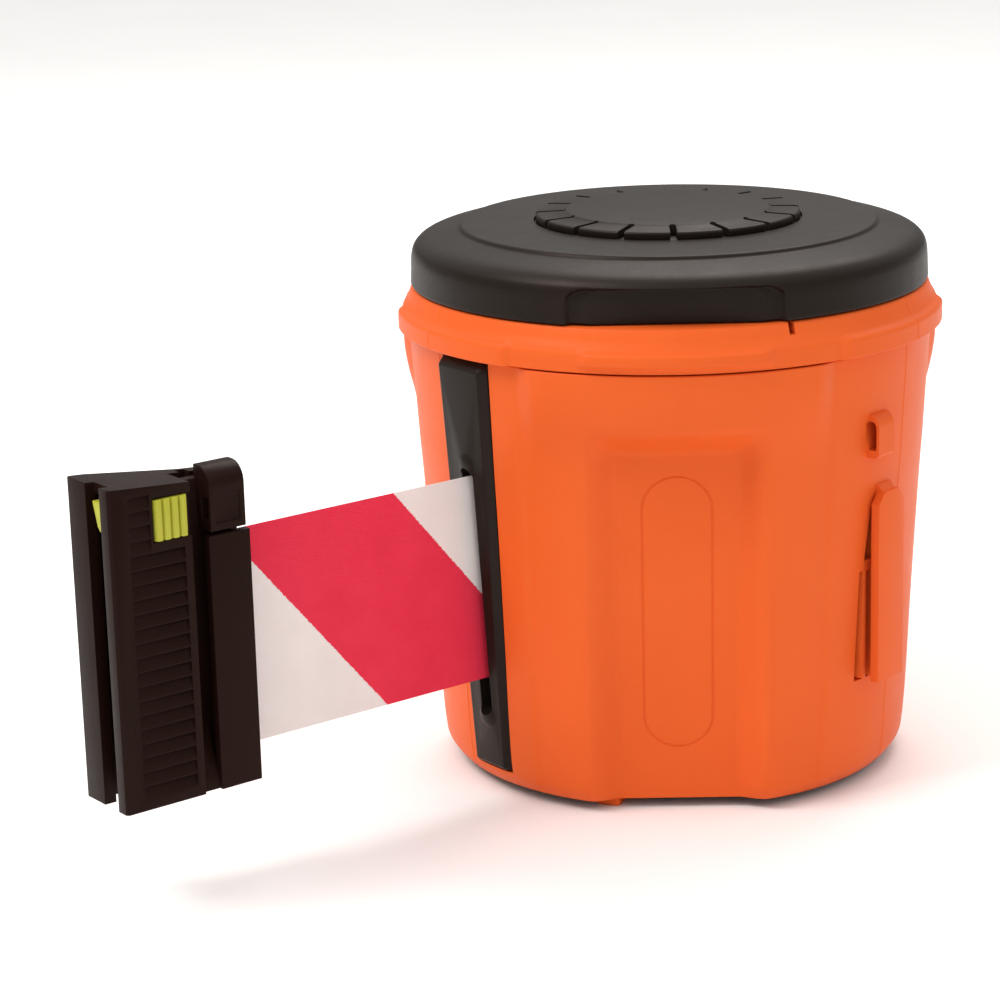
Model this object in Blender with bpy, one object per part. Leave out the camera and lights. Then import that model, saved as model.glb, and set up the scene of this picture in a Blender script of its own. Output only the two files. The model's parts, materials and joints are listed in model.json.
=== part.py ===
"""Cone-top retractable barrier-tape unit: drum, reel, brake, lid and the fitting on the tape's end.

Heights are counted from the lower edge of the drum while modelling, in millimetres, and the whole
unit hangs from one empty that puts the roof of the cone socket at the world's origin. The tape
leaves the slot along -Y. Angles are counted from -Y towards +X.
"""

import math

import bmesh
import bpy
from mathutils import Vector

MM = 0.001

# Drum
DRUM_TOP = 147.2
WALL = 3.0
FILLET_TOP = 5.0
PANEL_ANGLE = 50.5
STATION_OFFSET = 60.0
PANEL_FOOT = 67.5
PANEL_SLOPE = 0.069
PANEL_FLAT_HALF = 21.0
PANEL_WALL_HALF = 30.0
PANEL_FADE_LOW = 118.0
PANEL_FADE_HIGH = 129.0
STATION_HALF_ANGLE = 24.5
STATION_EDGE_ANGLE = 1.0
STATION_RAISE = 0.6
STATION_RISE_LOW = 110.0
STATION_LEAN = 0.056
BOSS_LOW = 5.6
BOSS_HIGH = 15.0
BOSS_RADIUS = 4.6

# Collar and lid
COLLAR_LOW = 147.8
COLLAR_TOP = 161.4
COLLAR_DECK_INNER = 73.0
LEDGE_INNER = 70.0
LID_EDGE = 162.0
LID_WALL = 2.5
SCALLOP_DISTANCE = 79.5
SCALLOP_LOW = 171.0
SCALLOP_HIGH = 174.5
DIAL_RADIUS = 45.2
DIAL_TOP = 185.0
DIAL_NOTCHES = 16

# Socket and spindle
SEAT_HEIGHT = 92.0
SEAT_RADIUS = 27.5
MOUTH_RADIUS = 36.3
POST_RADIUS = 6.0

# Tape and reel
TAPE_LOW = 37.5
TAPE_HIGH = 107.5
TAPE_HALF_THICKNESS = 0.25
ROLL_INNER = 42.4
ROLL_OUTER = 53.1
FLANGE_RADIUS = 57.0
HUB_OUTER = 42.0
HUB_INNER = 40.0
GUIDE_PIN_Y = -72.0
GUIDE_PIN_RADIUS = 2.4

# Slot bezel
BEZEL_LOW = 6.0
BEZEL_HIGH = 146.2
BEZEL_HALF_LOW = 8.8
BEZEL_SPREAD = 0.02
BEZEL_CHAMFER = 2.3
BEZEL_FACE_LOW = 80.5
BEZEL_LEAN = 0.0652
SLOT_LOW = 24.5
SLOT_HIGH = 110.5
SLOT_HALF_WIDTH = 2.8

# Receivers
RECEIVER_ANGLES = {"side": 103.0, "rear": 223.0}
RAIL_HALF_WIDTH = 7.5
RAIL_HEAD = 3.0
RECEIVER_LOW = 36.0
RECEIVER_HIGH = 100.0
RECEIVER_FACE = 88.5

# End fitting; depth is counted from the end face towards the drum
END_FACE_Y = -227.5
END_LOW = 29.9
END_HIGH = 131.1
END_HALF = 12.0
GRIP_DEPTH = 28.0
END_DEPTH = 49.0
BARB_REACH = 7.2
CLAMP_HALF = 5.0
CLAMP_START = 34.5
TOP_FALL = 0.078
CLAMP_PIN_X = -2.1
CLAMP_PIN_RADIUS = 1.2
CLAMP_SCREW_SEAT = -3.5

# Brake
PLUNGER_Y = 33.0
PLUNGER_TRAVEL = 3.5
CAM_FLOOR = 163.6
CAM_TURN = 45.0


def clear_scene():
    for item in list(bpy.data.objects):
        bpy.data.objects.remove(item, do_unlink=True)


def make_finish(name, colour, roughness, metallic=0.0):
    finish = bpy.data.materials.new(name)
    finish.use_nodes = True
    shader = finish.node_tree.nodes["Principled BSDF"]
    shader.inputs["Base Color"].default_value = (*colour, 1.0)
    shader.inputs["Roughness"].default_value = roughness
    shader.inputs["Metallic"].default_value = metallic
    return finish


def smooth_step(low, high, value):
    share = min(1.0, max(0.0, (value - low) / (high - low)))
    return share * share * (3.0 - 2.0 * share)


def interpolate(points, value):
    for (x0, y0), (x1, y1) in zip(points, points[1:]):
        if value <= x1:
            share = max(0.0, (value - x0) / (x1 - x0))
            return y0 + (y1 - y0) * share
    return points[-1][1]


def polar(angle, radius, height):
    turn = math.radians(angle)
    return (radius * math.sin(turn), -radius * math.cos(turn), height)


def finish_mesh(mesh, bm, sharp_angle):
    bmesh.ops.recalc_face_normals(bm, faces=bm.faces)
    bm.to_mesh(mesh)
    bm.free()
    mesh.shade_smooth()
    mesh.set_sharp_from_angle(angle=math.radians(sharp_angle))


def mesh_from(name, points, faces, sharp_angle=35.0):
    bm = bmesh.new()
    vertices = [bm.verts.new(Vector(point) * MM) for point in points]
    for face in faces:
        bm.faces.new([vertices[index] for index in face])
    mesh = bpy.data.meshes.new(name)
    finish_mesh(mesh, bm, sharp_angle)
    return mesh


def add_object(name, mesh, finish, parent, location=(0.0, 0.0, 0.0), turn=0.0):
    item = bpy.data.objects.new(name, mesh)
    bpy.context.scene.collection.objects.link(item)
    item.parent = parent
    item.location = Vector(location) * MM
    item.rotation_euler = (0.0, 0.0, math.radians(turn))
    if finish is not None:
        mesh.materials.clear()
        mesh.materials.append(finish)
    return item


def turned_mesh(name, profile, segments=32, sharp_angle=35.0):
    """Revolve a closed profile of (radius, height); radius 0 points close it on the axis."""
    points = []
    rows = []
    for radius, height in profile:
        count = 1 if radius == 0.0 else segments
        rows.append(list(range(len(points), len(points) + count)))
        for step in range(count):
            points.append(polar(360.0 * step / segments, radius, height))
    faces = []
    for index, row in enumerate(rows):
        following = rows[(index + 1) % len(rows)]
        if len(row) == 1 and len(following) == 1:
            continue
        for step in range(segments):
            after = (step + 1) % segments
            if len(row) == 1:
                faces.append((row[0], following[step], following[after]))
            elif len(following) == 1:
                faces.append((row[step], following[0], row[after]))
            else:
                faces.append((row[step], following[step], following[after], row[after]))
    return mesh_from(name, points, faces, sharp_angle)


def lofted_mesh(name, angles, loop, sharp_angle=35.0):
    """Join sections around the axis; loop(angle) gives a closed list of (radius, height)."""
    points = []
    for angle in angles:
        points.extend(polar(angle, radius, height) for radius, height in loop(angle))
    size = len(points) // len(angles)
    faces = []
    for section in range(len(angles)):
        here = section * size
        there = ((section + 1) % len(angles)) * size
        for index in range(size):
            after = (index + 1) % size
            faces.append((here + index, there + index, there + after, here + after))
    return mesh_from(name, points, faces, sharp_angle)


def prism_mesh(name, outline, low, high, shear=0.0, sharp_angle=35.0):
    """Extrude a plan outline of (x, y) from one height to another, leaning along -Y by shear."""
    count = len(outline)
    points = [(x, y, low) for x, y in outline]
    points += [(x, y - shear * (high - low), high) for x, y in outline]
    faces = [tuple(reversed(range(count))), tuple(range(count, 2 * count))]
    for index in range(count):
        after = (index + 1) % count
        faces.append((index, after, count + after, count + index))
    return mesh_from(name, points, faces, sharp_angle)


def box_mesh(name, low, high, bevel=0.0):
    corners = [(x, y, z) for z in (low[2], high[2]) for y in (low[1], high[1]) for x in (low[0], high[0])]
    faces = [(0, 2, 3, 1), (4, 5, 7, 6), (0, 1, 5, 4), (1, 3, 7, 5), (3, 2, 6, 7), (2, 0, 4, 6)]
    mesh = mesh_from(name, corners, faces)
    if bevel > 0.0:
        bm = bmesh.new()
        bm.from_mesh(mesh)
        bmesh.ops.bevel(bm, geom=bm.edges[:], offset=bevel * MM, segments=1, affect="EDGES")
        finish_mesh(mesh, bm, 50.0)
    return mesh


def rod_mesh(name, radius, low, high, segments=12):
    return turned_mesh(name, [(0.0, low), (radius, low), (radius, high), (0.0, high)], segments)


def stepped_cutter(name, wide, narrow, end):
    """Cutter for a screw: a wide bore from the first height, a narrow one from the second to the end."""
    profile = [
        (0.0, wide[1]), (wide[0], wide[1]), (wide[0], narrow[1]),
        (narrow[0], narrow[1]), (narrow[0], end), (0.0, end),
    ]
    return turned_mesh(name, profile, 12)


def combine(
    target, mesh, operation, parent, location=(0.0, 0.0, 0.0), turn=0.0, tilt=None, solver="EXACT"
):
    """Cut a helper mesh out of the target, or join it on; the helper stays as a hidden guide."""
    guide = add_object(f"guide_{mesh.name}", mesh, None, parent, location, turn)
    if tilt is not None:
        guide.rotation_euler = tilt
    guide.hide_render = True
    guide.display_type = "WIRE"
    modifier = target.modifiers.new(mesh.name, "BOOLEAN")
    modifier.operation = operation
    modifier.object = guide
    modifier.solver = solver
    return guide


def sector_angles(offsets, first=PANEL_ANGLE):
    return [first + 120.0 * sector + offset for sector in range(3) for offset in offsets]


def panel_offset(angle):
    return (angle - PANEL_ANGLE + 60.0) % 120.0 - 60.0


def station_offset(angle):
    return (angle - PANEL_ANGLE - STATION_OFFSET + 60.0) % 120.0 - 60.0


# ---------------------------------------------------------------- drum outline

DRUM_RADII = [
    (0.0, 75.8), (1.5, 77.0), (FILLET_TOP, 78.6), (20.0, 79.9), (47.0, 81.2), (97.0, 84.0),
    (110.0, 84.9), (116.0, 85.4), (120.0, 86.0), (125.0, 87.0), (130.0, 88.3), (136.0, 89.4),
    (141.0, 89.9), (150.0, 90.0),
]


def drum_radius(height):
    return interpolate(DRUM_RADII, height)


def drum_outline(angle, height, inset=0.0):
    """Distance from the axis to the drum's surface.

    The drum is round and flares at its top; it is flat in its three panels, and the three stations
    between them keep a straight side up to the collar.
    """
    edge = smooth_step(
        STATION_HALF_ANGLE - STATION_EDGE_ANGLE,
        STATION_HALF_ANGLE + STATION_EDGE_ANGLE,
        abs(station_offset(angle)),
    )
    fade = smooth_step(0.0, FILLET_TOP, height)
    full = drum_radius(height) + STATION_RAISE * (1.0 - edge) * fade - inset
    if height > STATION_RISE_LOW:
        straight = drum_radius(STATION_RISE_LOW) + STATION_LEAN * (height - STATION_RISE_LOW)
        away = abs(station_offset(angle))
        near = 1.0 - smooth_step(STATION_HALF_ANGLE - 1.5, STATION_HALF_ANGLE + 6.0, away)
        full += (straight - drum_radius(height)) * near
    turn = math.radians(panel_offset(angle))
    sideways = abs(drum_radius(height) * math.sin(turn))
    flat = (PANEL_FOOT + PANEL_SLOPE * height - inset) / math.cos(turn)
    share = 1.0 - smooth_step(PANEL_FLAT_HALF, PANEL_WALL_HALF, sideways)
    share *= 1.0 - smooth_step(PANEL_FADE_LOW, PANEL_FADE_HIGH, height)
    return full + (min(flat, full) - full) * share


DRUM_ANGLES = sector_angles([
    -23.5, -20.0, -16.5, -8.5, 0.0, 8.5, 16.5, 20.0, 23.5,
    29.0, 34.5, 36.5, 44.0, 52.0, 60.0, 68.0, 76.0, 83.5, 85.5, 91.0,
])


def build_body_shell(root, orange):
    outer = [0.0, 1.5, FILLET_TOP, 60.0, 110.0, 117.5, 121.0, 124.5, 129.0, 134.0, 140.0, DRUM_TOP]
    inner = [DRUM_TOP, 131.0, 117.5, BOSS_LOW - 0.9]

    def loop(angle):
        section = [(drum_outline(angle, height), height) for height in outer]
        section += [(drum_outline(angle, height, WALL), height) for height in inner]
        section.append((drum_outline(angle, 0.0, WALL - 1.0), 0.0))
        return section

    shell = add_object("body_shell", lofted_mesh("body_shell", DRUM_ANGLES, loop, 40.0), orange, root)
    low, high = BEZEL_LOW - 0.6, DRUM_TOP + 1.0
    corners = [(side, out) for out in (-60.0, -95.0) for side in (-1.0, 1.0)]
    corners = [corners[0], corners[1], corners[3], corners[2]]
    window = spread_prism("bezel_window", [(side, out, 0.4) for side, out in corners], low, high, 0.0)
    combine(shell, window, "DIFFERENCE", root)
    for label, angle in RECEIVER_ANGLES.items():
        eye = eye_mesh(f"eye_{label}")
        combine(shell, eye, "UNION", root, turn=angle)
        hole = box_mesh(f"eye_hole_{label}", (-16.0, -88.9, 116.0), (-2.6, -87.0 + 1.2, 123.5))
        combine(shell, hole, "DIFFERENCE", root, turn=angle)
        low, high = (-11.0, -95.0, RECEIVER_LOW - 2.0), (9.5, -60.0, RECEIVER_HIGH + 1.5)
        combine(shell, box_mesh(f"rail_window_{label}", low, high), "DIFFERENCE", root, turn=angle)
    for index in range(3):
        angle, radius = screw_place(index)
        spot = polar(angle, radius, 0.0)
        combine(shell, rod_mesh(f"boss_{index + 1}", BOSS_RADIUS, BOSS_LOW, BOSS_HIGH), "UNION", root, spot)
        low, high = (-1.5, -BOSS_RIB_REACH, BOSS_LOW + 0.3), (1.5, -radius, BOSS_HIGH - 0.7)
        combine(shell, box_mesh(f"boss_rib_{index + 1}", low, high), "UNION", root, turn=angle)
        bore = rod_mesh(f"boss_bore_{index + 1}", 2.0, BOSS_LOW - 1.0, BOSS_HIGH - 2.0)
        combine(shell, bore, "DIFFERENCE", root, spot)
    return shell


def eye_mesh(name):
    """Arched lug above a receiver, open on the side that faces the front panel."""
    left, right, back, front, low, high = -10.5, -0.5, -82.5, -89.9, 112.5, 128.0
    arch = [(-front, low), (-back, low), (-back, high)]
    for step in range(5):
        turn = math.radians(90.0 - 22.5 * step)
        arch.append((-front - 4.0 + 4.0 * math.cos(turn), high - 4.0 + 4.0 * math.sin(turn)))
    points = [(left, -out, height) for out, height in arch] + [(right, -out, height) for out, height in arch]
    count = len(arch)
    faces = [tuple(range(count)), tuple(reversed(range(count, 2 * count)))]
    for index in range(count):
        after = (index + 1) % count
        faces.append((index, after, count + after, count + index))
    return mesh_from(name, points, faces)


# ---------------------------------------------------------------- fasteners

BASE_SCREW_ANGLE = 334.5
BASE_SCREW_RADIUS = 67.0
BOSS_RIB_REACH = 77.5


def screw_place(index):
    return BASE_SCREW_ANGLE + 120.0 * index, BASE_SCREW_RADIUS


def screw_mesh(name, head_radius, head_height, shank_radius, length):
    """Pan-head screw whose head sits below height 0 and whose shank rises above it."""
    profile = [
        (0.0, -head_height), (head_radius * 0.7, -head_height), (head_radius, -head_height * 0.55),
        (head_radius, 0.0), (shank_radius, 0.0), (shank_radius, length - 1.0), (0.0, length),
    ]
    return turned_mesh(name, profile, 10)


# ---------------------------------------------------------------- base and socket

def build_base(root, orange, black, rubber, steel):
    def loop(angle):
        edge = drum_outline(angle, 0.0, WALL)
        return [(37.8, 1.0), (edge, 1.0), (edge, 5.2), (37.8, 5.2)]

    plate = add_object("base_plate", lofted_mesh("base_plate", DRUM_ANGLES, loop), black, root)
    for index in range(3):
        spot = polar(*screw_place(index), 0.0)
        bore = stepped_cutter(f"plate_bore_{index + 1}", (3.9, 0.0), (2.0, 3.0), 7.0)
        combine(plate, bore, "DIFFERENCE", root, spot)
        screw = screw_mesh(f"base_screw_{index + 1}", 3.4, 1.9, 1.7, 8.5)
        add_object(screw.name, screw, steel, root, (spot[0], spot[1], 2.7))
        spot = polar(PANEL_ANGLE + 60.0 + 120.0 * index, 44.5, 0.0)
        bore = stepped_cutter(f"socket_bore_{index + 1}", (3.9, 0.0), (2.0, 3.0), 7.0)
        combine(plate, bore, "DIFFERENCE", root, spot)
        screw = screw_mesh(f"socket_screw_{index + 1}", 3.4, 1.9, 1.7, 5.4)
        add_object(screw.name, screw, steel, root, (spot[0], spot[1], 2.7))
        foot = box_mesh(f"foot_{index + 1}", (-4.0, -69.0, -3.5), (4.0, -61.5, 0.7), 0.6)
        add_object(foot.name, foot, orange, root, turn=PANEL_ANGLE - 20.0 + 120.0 * index)

    socket = turned_mesh("cone_socket", [
        (0.0, SEAT_HEIGHT), (SEAT_RADIUS, SEAT_HEIGHT), (MOUTH_RADIUS, 8.0), (37.5, 5.5), (50.0, 5.5),
        (50.0, 8.5), (39.0, 8.5), (30.5, 95.0), (0.0, 95.0),
    ], 36)
    socket = add_object("cone_socket", socket, black, root)
    for index in range(3):
        spot = polar(PANEL_ANGLE + 60.0 + 120.0 * index, 44.5, 0.0)
        combine(socket, rod_mesh(f"ring_bore_{index + 1}", 2.0, 5.0, 9.5), "DIFFERENCE", root, spot)

    grip = [(35.0, 9.0)]
    for fin in range(3):
        grip += [(31.5, 10.0 + 2.0 * fin), (34.0, 11.0 + 2.0 * fin)]
    grip[-1] = (34.6, 14.6)
    add_object("cone_grip", turned_mesh("cone_grip", grip, 30), rubber, root)


# ---------------------------------------------------------------- spindle and bridge

def build_spindle(root, black, steel):
    post = turned_mesh("centre_post", [
        (0.0, 95.4), (14.0, 95.4), (14.0, 97.4), (POST_RADIUS, 97.4), (POST_RADIUS, 159.0), (0.0, 159.0),
    ], 20)
    add_object("centre_post", post, steel, root)
    nut = turned_mesh("post_nut", [(7.3, 154.1), (11.0, 154.1), (11.0, 158.5), (7.3, 158.5)], 6)
    add_object("post_nut", nut, steel, root)
    bridge = turned_mesh("top_bridge", [(6.5, 150.8), (82.0, 150.8), (82.0, 153.8), (6.5, 153.8)], 36)
    bridge = add_object("top_bridge", bridge, black, root)
    bore = rod_mesh("plunger_bore", 4.0, 149.0, 156.0, 16)
    combine(bridge, bore, "DIFFERENCE", root, (0.0, PLUNGER_Y, 0.0))
    for index in range(3):
        spot = polar(PANEL_ANGLE + 120.0 * index, 76.0, 0.0)
        bore = rod_mesh(f"bridge_bore_{index + 1}", 2.0, 149.0, 156.0)
        combine(bridge, bore, "DIFFERENCE", root, spot, solver="MANIFOLD")
        screw = screw_mesh(f"bridge_screw_{index + 1}", 3.4, 1.9, 1.7, 5.6)
        item = add_object(screw.name, screw, steel, root, (spot[0], spot[1], 154.1))
        item.rotation_euler = (math.pi, 0.0, 0.0)


# ---------------------------------------------------------------- collar

COLLAR_RADII = [(147.8, 90.0), (153.0, 90.0), (155.2, 89.2), (157.5, 87.9), (159.8, 87.0), (161.4, 86.3)]
COLLAR_ANGLES = sector_angles([
    -20.5, -18.5, -9.0, 0.0, 9.0, 18.5, 20.5, 27.5, 34.5, 36.5,
    44.0, 52.0, 60.0, 68.0, 76.0, 83.5, 85.5, 92.5,
])


def collar_radius(angle, height):
    radius = interpolate(COLLAR_RADII, height)
    panel = 1.0 - smooth_step(18.5, 20.5, abs(panel_offset(angle)))
    panel *= smooth_step(148.6, 149.8, height) * (1.0 - smooth_step(154.4, 156.0, height))
    station = 1.0 - smooth_step(23.5, 25.5, abs(station_offset(angle)))
    station *= 1.0 - smooth_step(157.0, 159.0, height)
    return radius + 1.0 * max(panel, 0.8 * station)


def build_collar(root, orange):
    heights = [147.8, 148.7, 150.0, 154.2, 156.0, 158.8, COLLAR_TOP]

    def loop(angle):
        section = [(collar_radius(angle, height), height) for height in heights]
        section += [
            (COLLAR_DECK_INNER, COLLAR_TOP), (COLLAR_DECK_INNER, 159.0), (84.0, 158.4),
            (86.4, 150.4), (LEDGE_INNER, 150.4), (LEDGE_INNER, 147.8),
        ]
        return section

    collar = add_object("collar", lofted_mesh("collar", COLLAR_ANGLES, loop, 40.0), orange, root)
    notch = box_mesh("pry_notch", (-1.0, -95.0, 157.6), (1.0, -80.0, 163.0))
    combine(collar, notch, "DIFFERENCE", root, turn=PANEL_ANGLE + 24.5)
    for index in range(3):
        spot = polar(PANEL_ANGLE + 120.0 * index, 76.0, 0.0)
        combine(collar, rod_mesh(f"ledge_bore_{index + 1}", 2.0, 146.0, 151.5), "DIFFERENCE", root, spot)
    return collar


# ---------------------------------------------------------------- slot bezel and guide pins

def bezel_face(height):
    """Distance of the bezel's outer face from the axis at one height."""
    return BEZEL_FACE_LOW + BEZEL_LEAN * (height - BEZEL_LOW)


def bezel_half(height):
    """Half width of the bezel, which is narrower at its foot."""
    return BEZEL_HALF_LOW + BEZEL_SPREAD * (height - BEZEL_LOW)


def spread_prism(name, outline, low, high, lean):
    """Upright prism that follows the bezel's width; outline holds (side, y, distance past its edge)."""
    points = []
    for height in (low, high):
        for side, out, beyond in outline:
            shift = lean * (height - low)
            points.append((side * (bezel_half(height) + beyond), out - shift, height))
    count = len(outline)
    faces = [tuple(reversed(range(count))), tuple(range(count, 2 * count))]
    for index in range(count):
        after = (index + 1) % count
        faces.append((index, after, count + after, count + index))
    return mesh_from(name, points, faces)


def build_bezel(root, black, steel):
    outer = -bezel_face(BEZEL_LOW)
    outline = [
        (-1.0, outer + 7.0, 0.0), (-1.0, outer + BEZEL_CHAMFER, 0.0), (-1.0, outer, -BEZEL_CHAMFER),
        (1.0, outer, -BEZEL_CHAMFER), (1.0, outer + BEZEL_CHAMFER, 0.0), (1.0, outer + 7.0, 0.0),
    ]
    mesh = spread_prism("slot_bezel", outline, BEZEL_LOW, BEZEL_HIGH, BEZEL_LEAN)
    bezel = add_object("slot_bezel", mesh, black, root)
    for label, low in (("low", 14.0), ("high", 119.4)):
        lug = box_mesh(f"pin_lug_{label}", (-7.0, 3.0 - bezel_face(low), low), (7.0, -68.0, low + 6.0))
        combine(bezel, lug, "UNION", root)
    slot = box_mesh("tape_slot", (-SLOT_HALF_WIDTH, -95.0, SLOT_LOW), (SLOT_HALF_WIDTH, -70.0, SLOT_HIGH))
    combine(bezel, slot, "DIFFERENCE", root)
    offset = GUIDE_PIN_RADIUS + TAPE_HALF_THICKNESS + 0.35
    for label, side in (("left", -1.0), ("right", 1.0)):
        spot = (side * offset, GUIDE_PIN_Y, 0.0)
        combine(bezel, rod_mesh(f"lug_bore_{label}", 1.7, 15.5, 124.0, 10), "DIFFERENCE", root, spot)
        pin = turned_mesh(f"guide_pin_{label}", [
            (0.0, 16.2), (1.3, 16.2), (1.3, 21.0), (GUIDE_PIN_RADIUS, 21.0), (GUIDE_PIN_RADIUS, 118.6),
            (1.3, 118.6), (1.3, 123.4), (0.0, 123.4),
        ], 14)
        add_object(pin.name, pin, steel, root, spot)


# ---------------------------------------------------------------- receivers

def build_receiver(root, orange, label, angle):
    """T-rail on a back plate that stands inside the drum's wall."""
    back = drum_radius(RECEIVER_LOW) + STATION_RAISE - WALL - 3.6
    plate = prism_mesh(
        f"receiver_{label}",
        [(-13.5, -back), (13.5, -back), (13.5, 2.4 - back), (-13.5, 2.4 - back)],
        RECEIVER_LOW - 6.0, RECEIVER_HIGH + 6.0, 0.048,
    )
    receiver = add_object(plate.name, plate, orange, root, turn=angle)
    low, high = (-2.5, 0.5 - RECEIVER_FACE, RECEIVER_LOW), (2.5, 1.0 - back, RECEIVER_HIGH)
    combine(receiver, box_mesh(f"stem_{label}", low, high), "UNION", root, turn=angle)
    cut = 4.0
    head = [
        (-RAIL_HALF_WIDTH, RECEIVER_LOW), (RAIL_HALF_WIDTH, RECEIVER_LOW),
        (RAIL_HALF_WIDTH, RECEIVER_HIGH - cut), (RAIL_HALF_WIDTH - cut, RECEIVER_HIGH),
        (cut - RAIL_HALF_WIDTH, RECEIVER_HIGH), (-RAIL_HALF_WIDTH, RECEIVER_HIGH - cut),
    ]
    plate = upright_plate(f"head_{label}", head, -RECEIVER_FACE, RAIL_HEAD)
    combine(receiver, plate, "UNION", root, turn=angle)
    return receiver


def upright_plate(name, outline, front, thickness):
    """Plate whose outline of (x, z) faces -Y."""
    count = len(outline)
    points = [(x, front, z) for x, z in outline] + [(x, front + thickness, z) for x, z in outline]
    faces = [tuple(range(count)), tuple(reversed(range(count, 2 * count)))]
    for index in range(count):
        after = (index + 1) % count
        faces.append((index, after, count + after, count + index))
    return mesh_from(name, points, faces)


# ---------------------------------------------------------------- reel

def build_reel(root, black, steel, white):
    hub = [
        (HUB_INNER, 31.5), (HUB_OUTER, 31.5), (HUB_OUTER, 112.0),
        (12.7, 112.0), (12.7, 109.4), (HUB_INNER, 109.4),
    ]
    add_object("reel_hub", turned_mesh("reel_hub", hub), black, root)
    for name, low in (("lower_flange", 33.5), ("upper_flange", 109.4)):
        bore, high = HUB_OUTER + 0.35, low + 1.8
        ring = [(bore, low), (FLANGE_RADIUS, low), (FLANGE_RADIUS, high), (bore, high)]
        add_object(name, turned_mesh(name, ring), black, root)
    roll = [(ROLL_INNER, TAPE_LOW), (ROLL_OUTER, TAPE_LOW), (ROLL_OUTER, TAPE_HIGH), (ROLL_INNER, TAPE_HIGH)]
    add_object("tape_roll", turned_mesh("tape_roll", roll, 48), white, root)
    cup = [
        (13.6, 112.5), (45.5, 112.5), (45.5, 131.0), (43.8, 131.0), (43.8, 114.6), (13.6, 114.6),
    ]
    add_object("spring_cup", turned_mesh("spring_cup", cup), black, root)
    cover = [(14.0, 131.3), (45.5, 131.3), (45.5, 132.7), (14.0, 132.7)]
    add_object("spring_cover", turned_mesh("spring_cover", cover), steel, root)
    disc = [(27.0, 133.0), (39.0, 133.0), (39.0, 134.4), (27.0, 134.4)]
    add_object("brake_ring", turned_mesh("brake_ring", disc), steel, root)
    arbor = [(POST_RADIUS + 0.35, 114.9), (12.8, 114.9), (12.8, 130.9), (POST_RADIUS + 0.35, 130.9)]
    add_object("spring_arbor", turned_mesh("spring_arbor", arbor, 20), steel, root)
    lower = [(37.3, 32.0), (39.65, 32.0), (39.65, 38.0), (37.3, 38.0)]
    add_object("lower_bushing", turned_mesh("lower_bushing", lower, 28), white, root)
    upper = [(POST_RADIUS + 0.35, 108.8), (12.35, 108.8), (12.35, 112.2), (POST_RADIUS + 0.35, 112.2)]
    add_object("upper_bushing", turned_mesh("upper_bushing", upper, 20), white, root)
    add_object("power_spring", spiral_mesh("power_spring"), steel, root)


def spiral_mesh(name):
    """Flat strip wound from the arbor out to the cup."""
    turns, steps, inner, outer, half = 4.0, 64, 14.2, 42.4, 0.45
    low, high = 116.5, 129.0
    sections = []
    for step in range(steps + 1):
        share = step / steps
        near = inner + (outer - inner) * share - half
        corners = [(near, low), (near + 2.0 * half, low), (near + 2.0 * half, high), (near, high)]
        sections.append([polar(360.0 * turns * share, *corner) for corner in corners])
    return strip_mesh(name, sections)


def strip_mesh(name, sections):
    """Join a run of four-cornered sections into one closed strip."""
    points = [corner for section in sections for corner in section]
    last = 4 * (len(sections) - 1)
    faces = [(0, 1, 2, 3), (last + 3, last + 2, last + 1, last)]
    for here in range(0, last, 4):
        for corner in range(4):
            after = (corner + 1) % 4
            faces.append((here + corner, here + after, here + 4 + after, here + 4 + corner))
    return mesh_from(name, points, faces)


# ---------------------------------------------------------------- tape

def tape_path():
    """Centre line of the tape from the roll, round the left guide pin and straight out to the clamp."""
    pin = Vector((-(GUIDE_PIN_RADIUS + TAPE_HALF_THICKNESS + 0.35), GUIDE_PIN_Y))
    pin_reach = -pin.x
    roll_reach = ROLL_OUTER + TAPE_HALF_THICKNESS + 0.4
    toward = math.atan2(pin.y, pin.x)
    swing = math.asin((roll_reach + pin_reach) / pin.length)
    heading = toward + swing
    left = Vector((-math.sin(heading), math.cos(heading)))
    path = [-left * roll_reach]
    turn_end = 0.0
    turn_start = math.atan2(left.y, left.x)
    for step in range(5):
        turn = turn_start + (turn_end - turn_start) * step / 4
        path.append(pin + Vector((math.cos(turn), math.sin(turn))) * pin_reach)
    slot_y = -bezel_face(SLOT_LOW)
    end_y = END_FACE_Y + 30.4
    for share in (0.0, 0.25, 0.5, 0.75, 1.0):
        path.append(Vector((0.0, slot_y + (end_y - slot_y) * share)))
    return path


def build_tape(root, white):
    path = tape_path()
    sections = []
    for index, spot in enumerate(path):
        along = path[min(index + 1, len(path) - 1)] - path[max(index - 1, 0)]
        across = Vector((-along.y, along.x)).normalized() * TAPE_HALF_THICKNESS
        near, far = spot + across, spot - across
        corners = [(near, TAPE_LOW), (far, TAPE_LOW), (far, TAPE_HIGH), (near, TAPE_HIGH)]
        sections.append([(side.x, side.y, height) for side, height in corners])
    add_object("tape_strip", strip_mesh("tape_strip", sections), white, root)


# ---------------------------------------------------------------- end fitting

def depth(value):
    return END_FACE_Y + value


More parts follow.
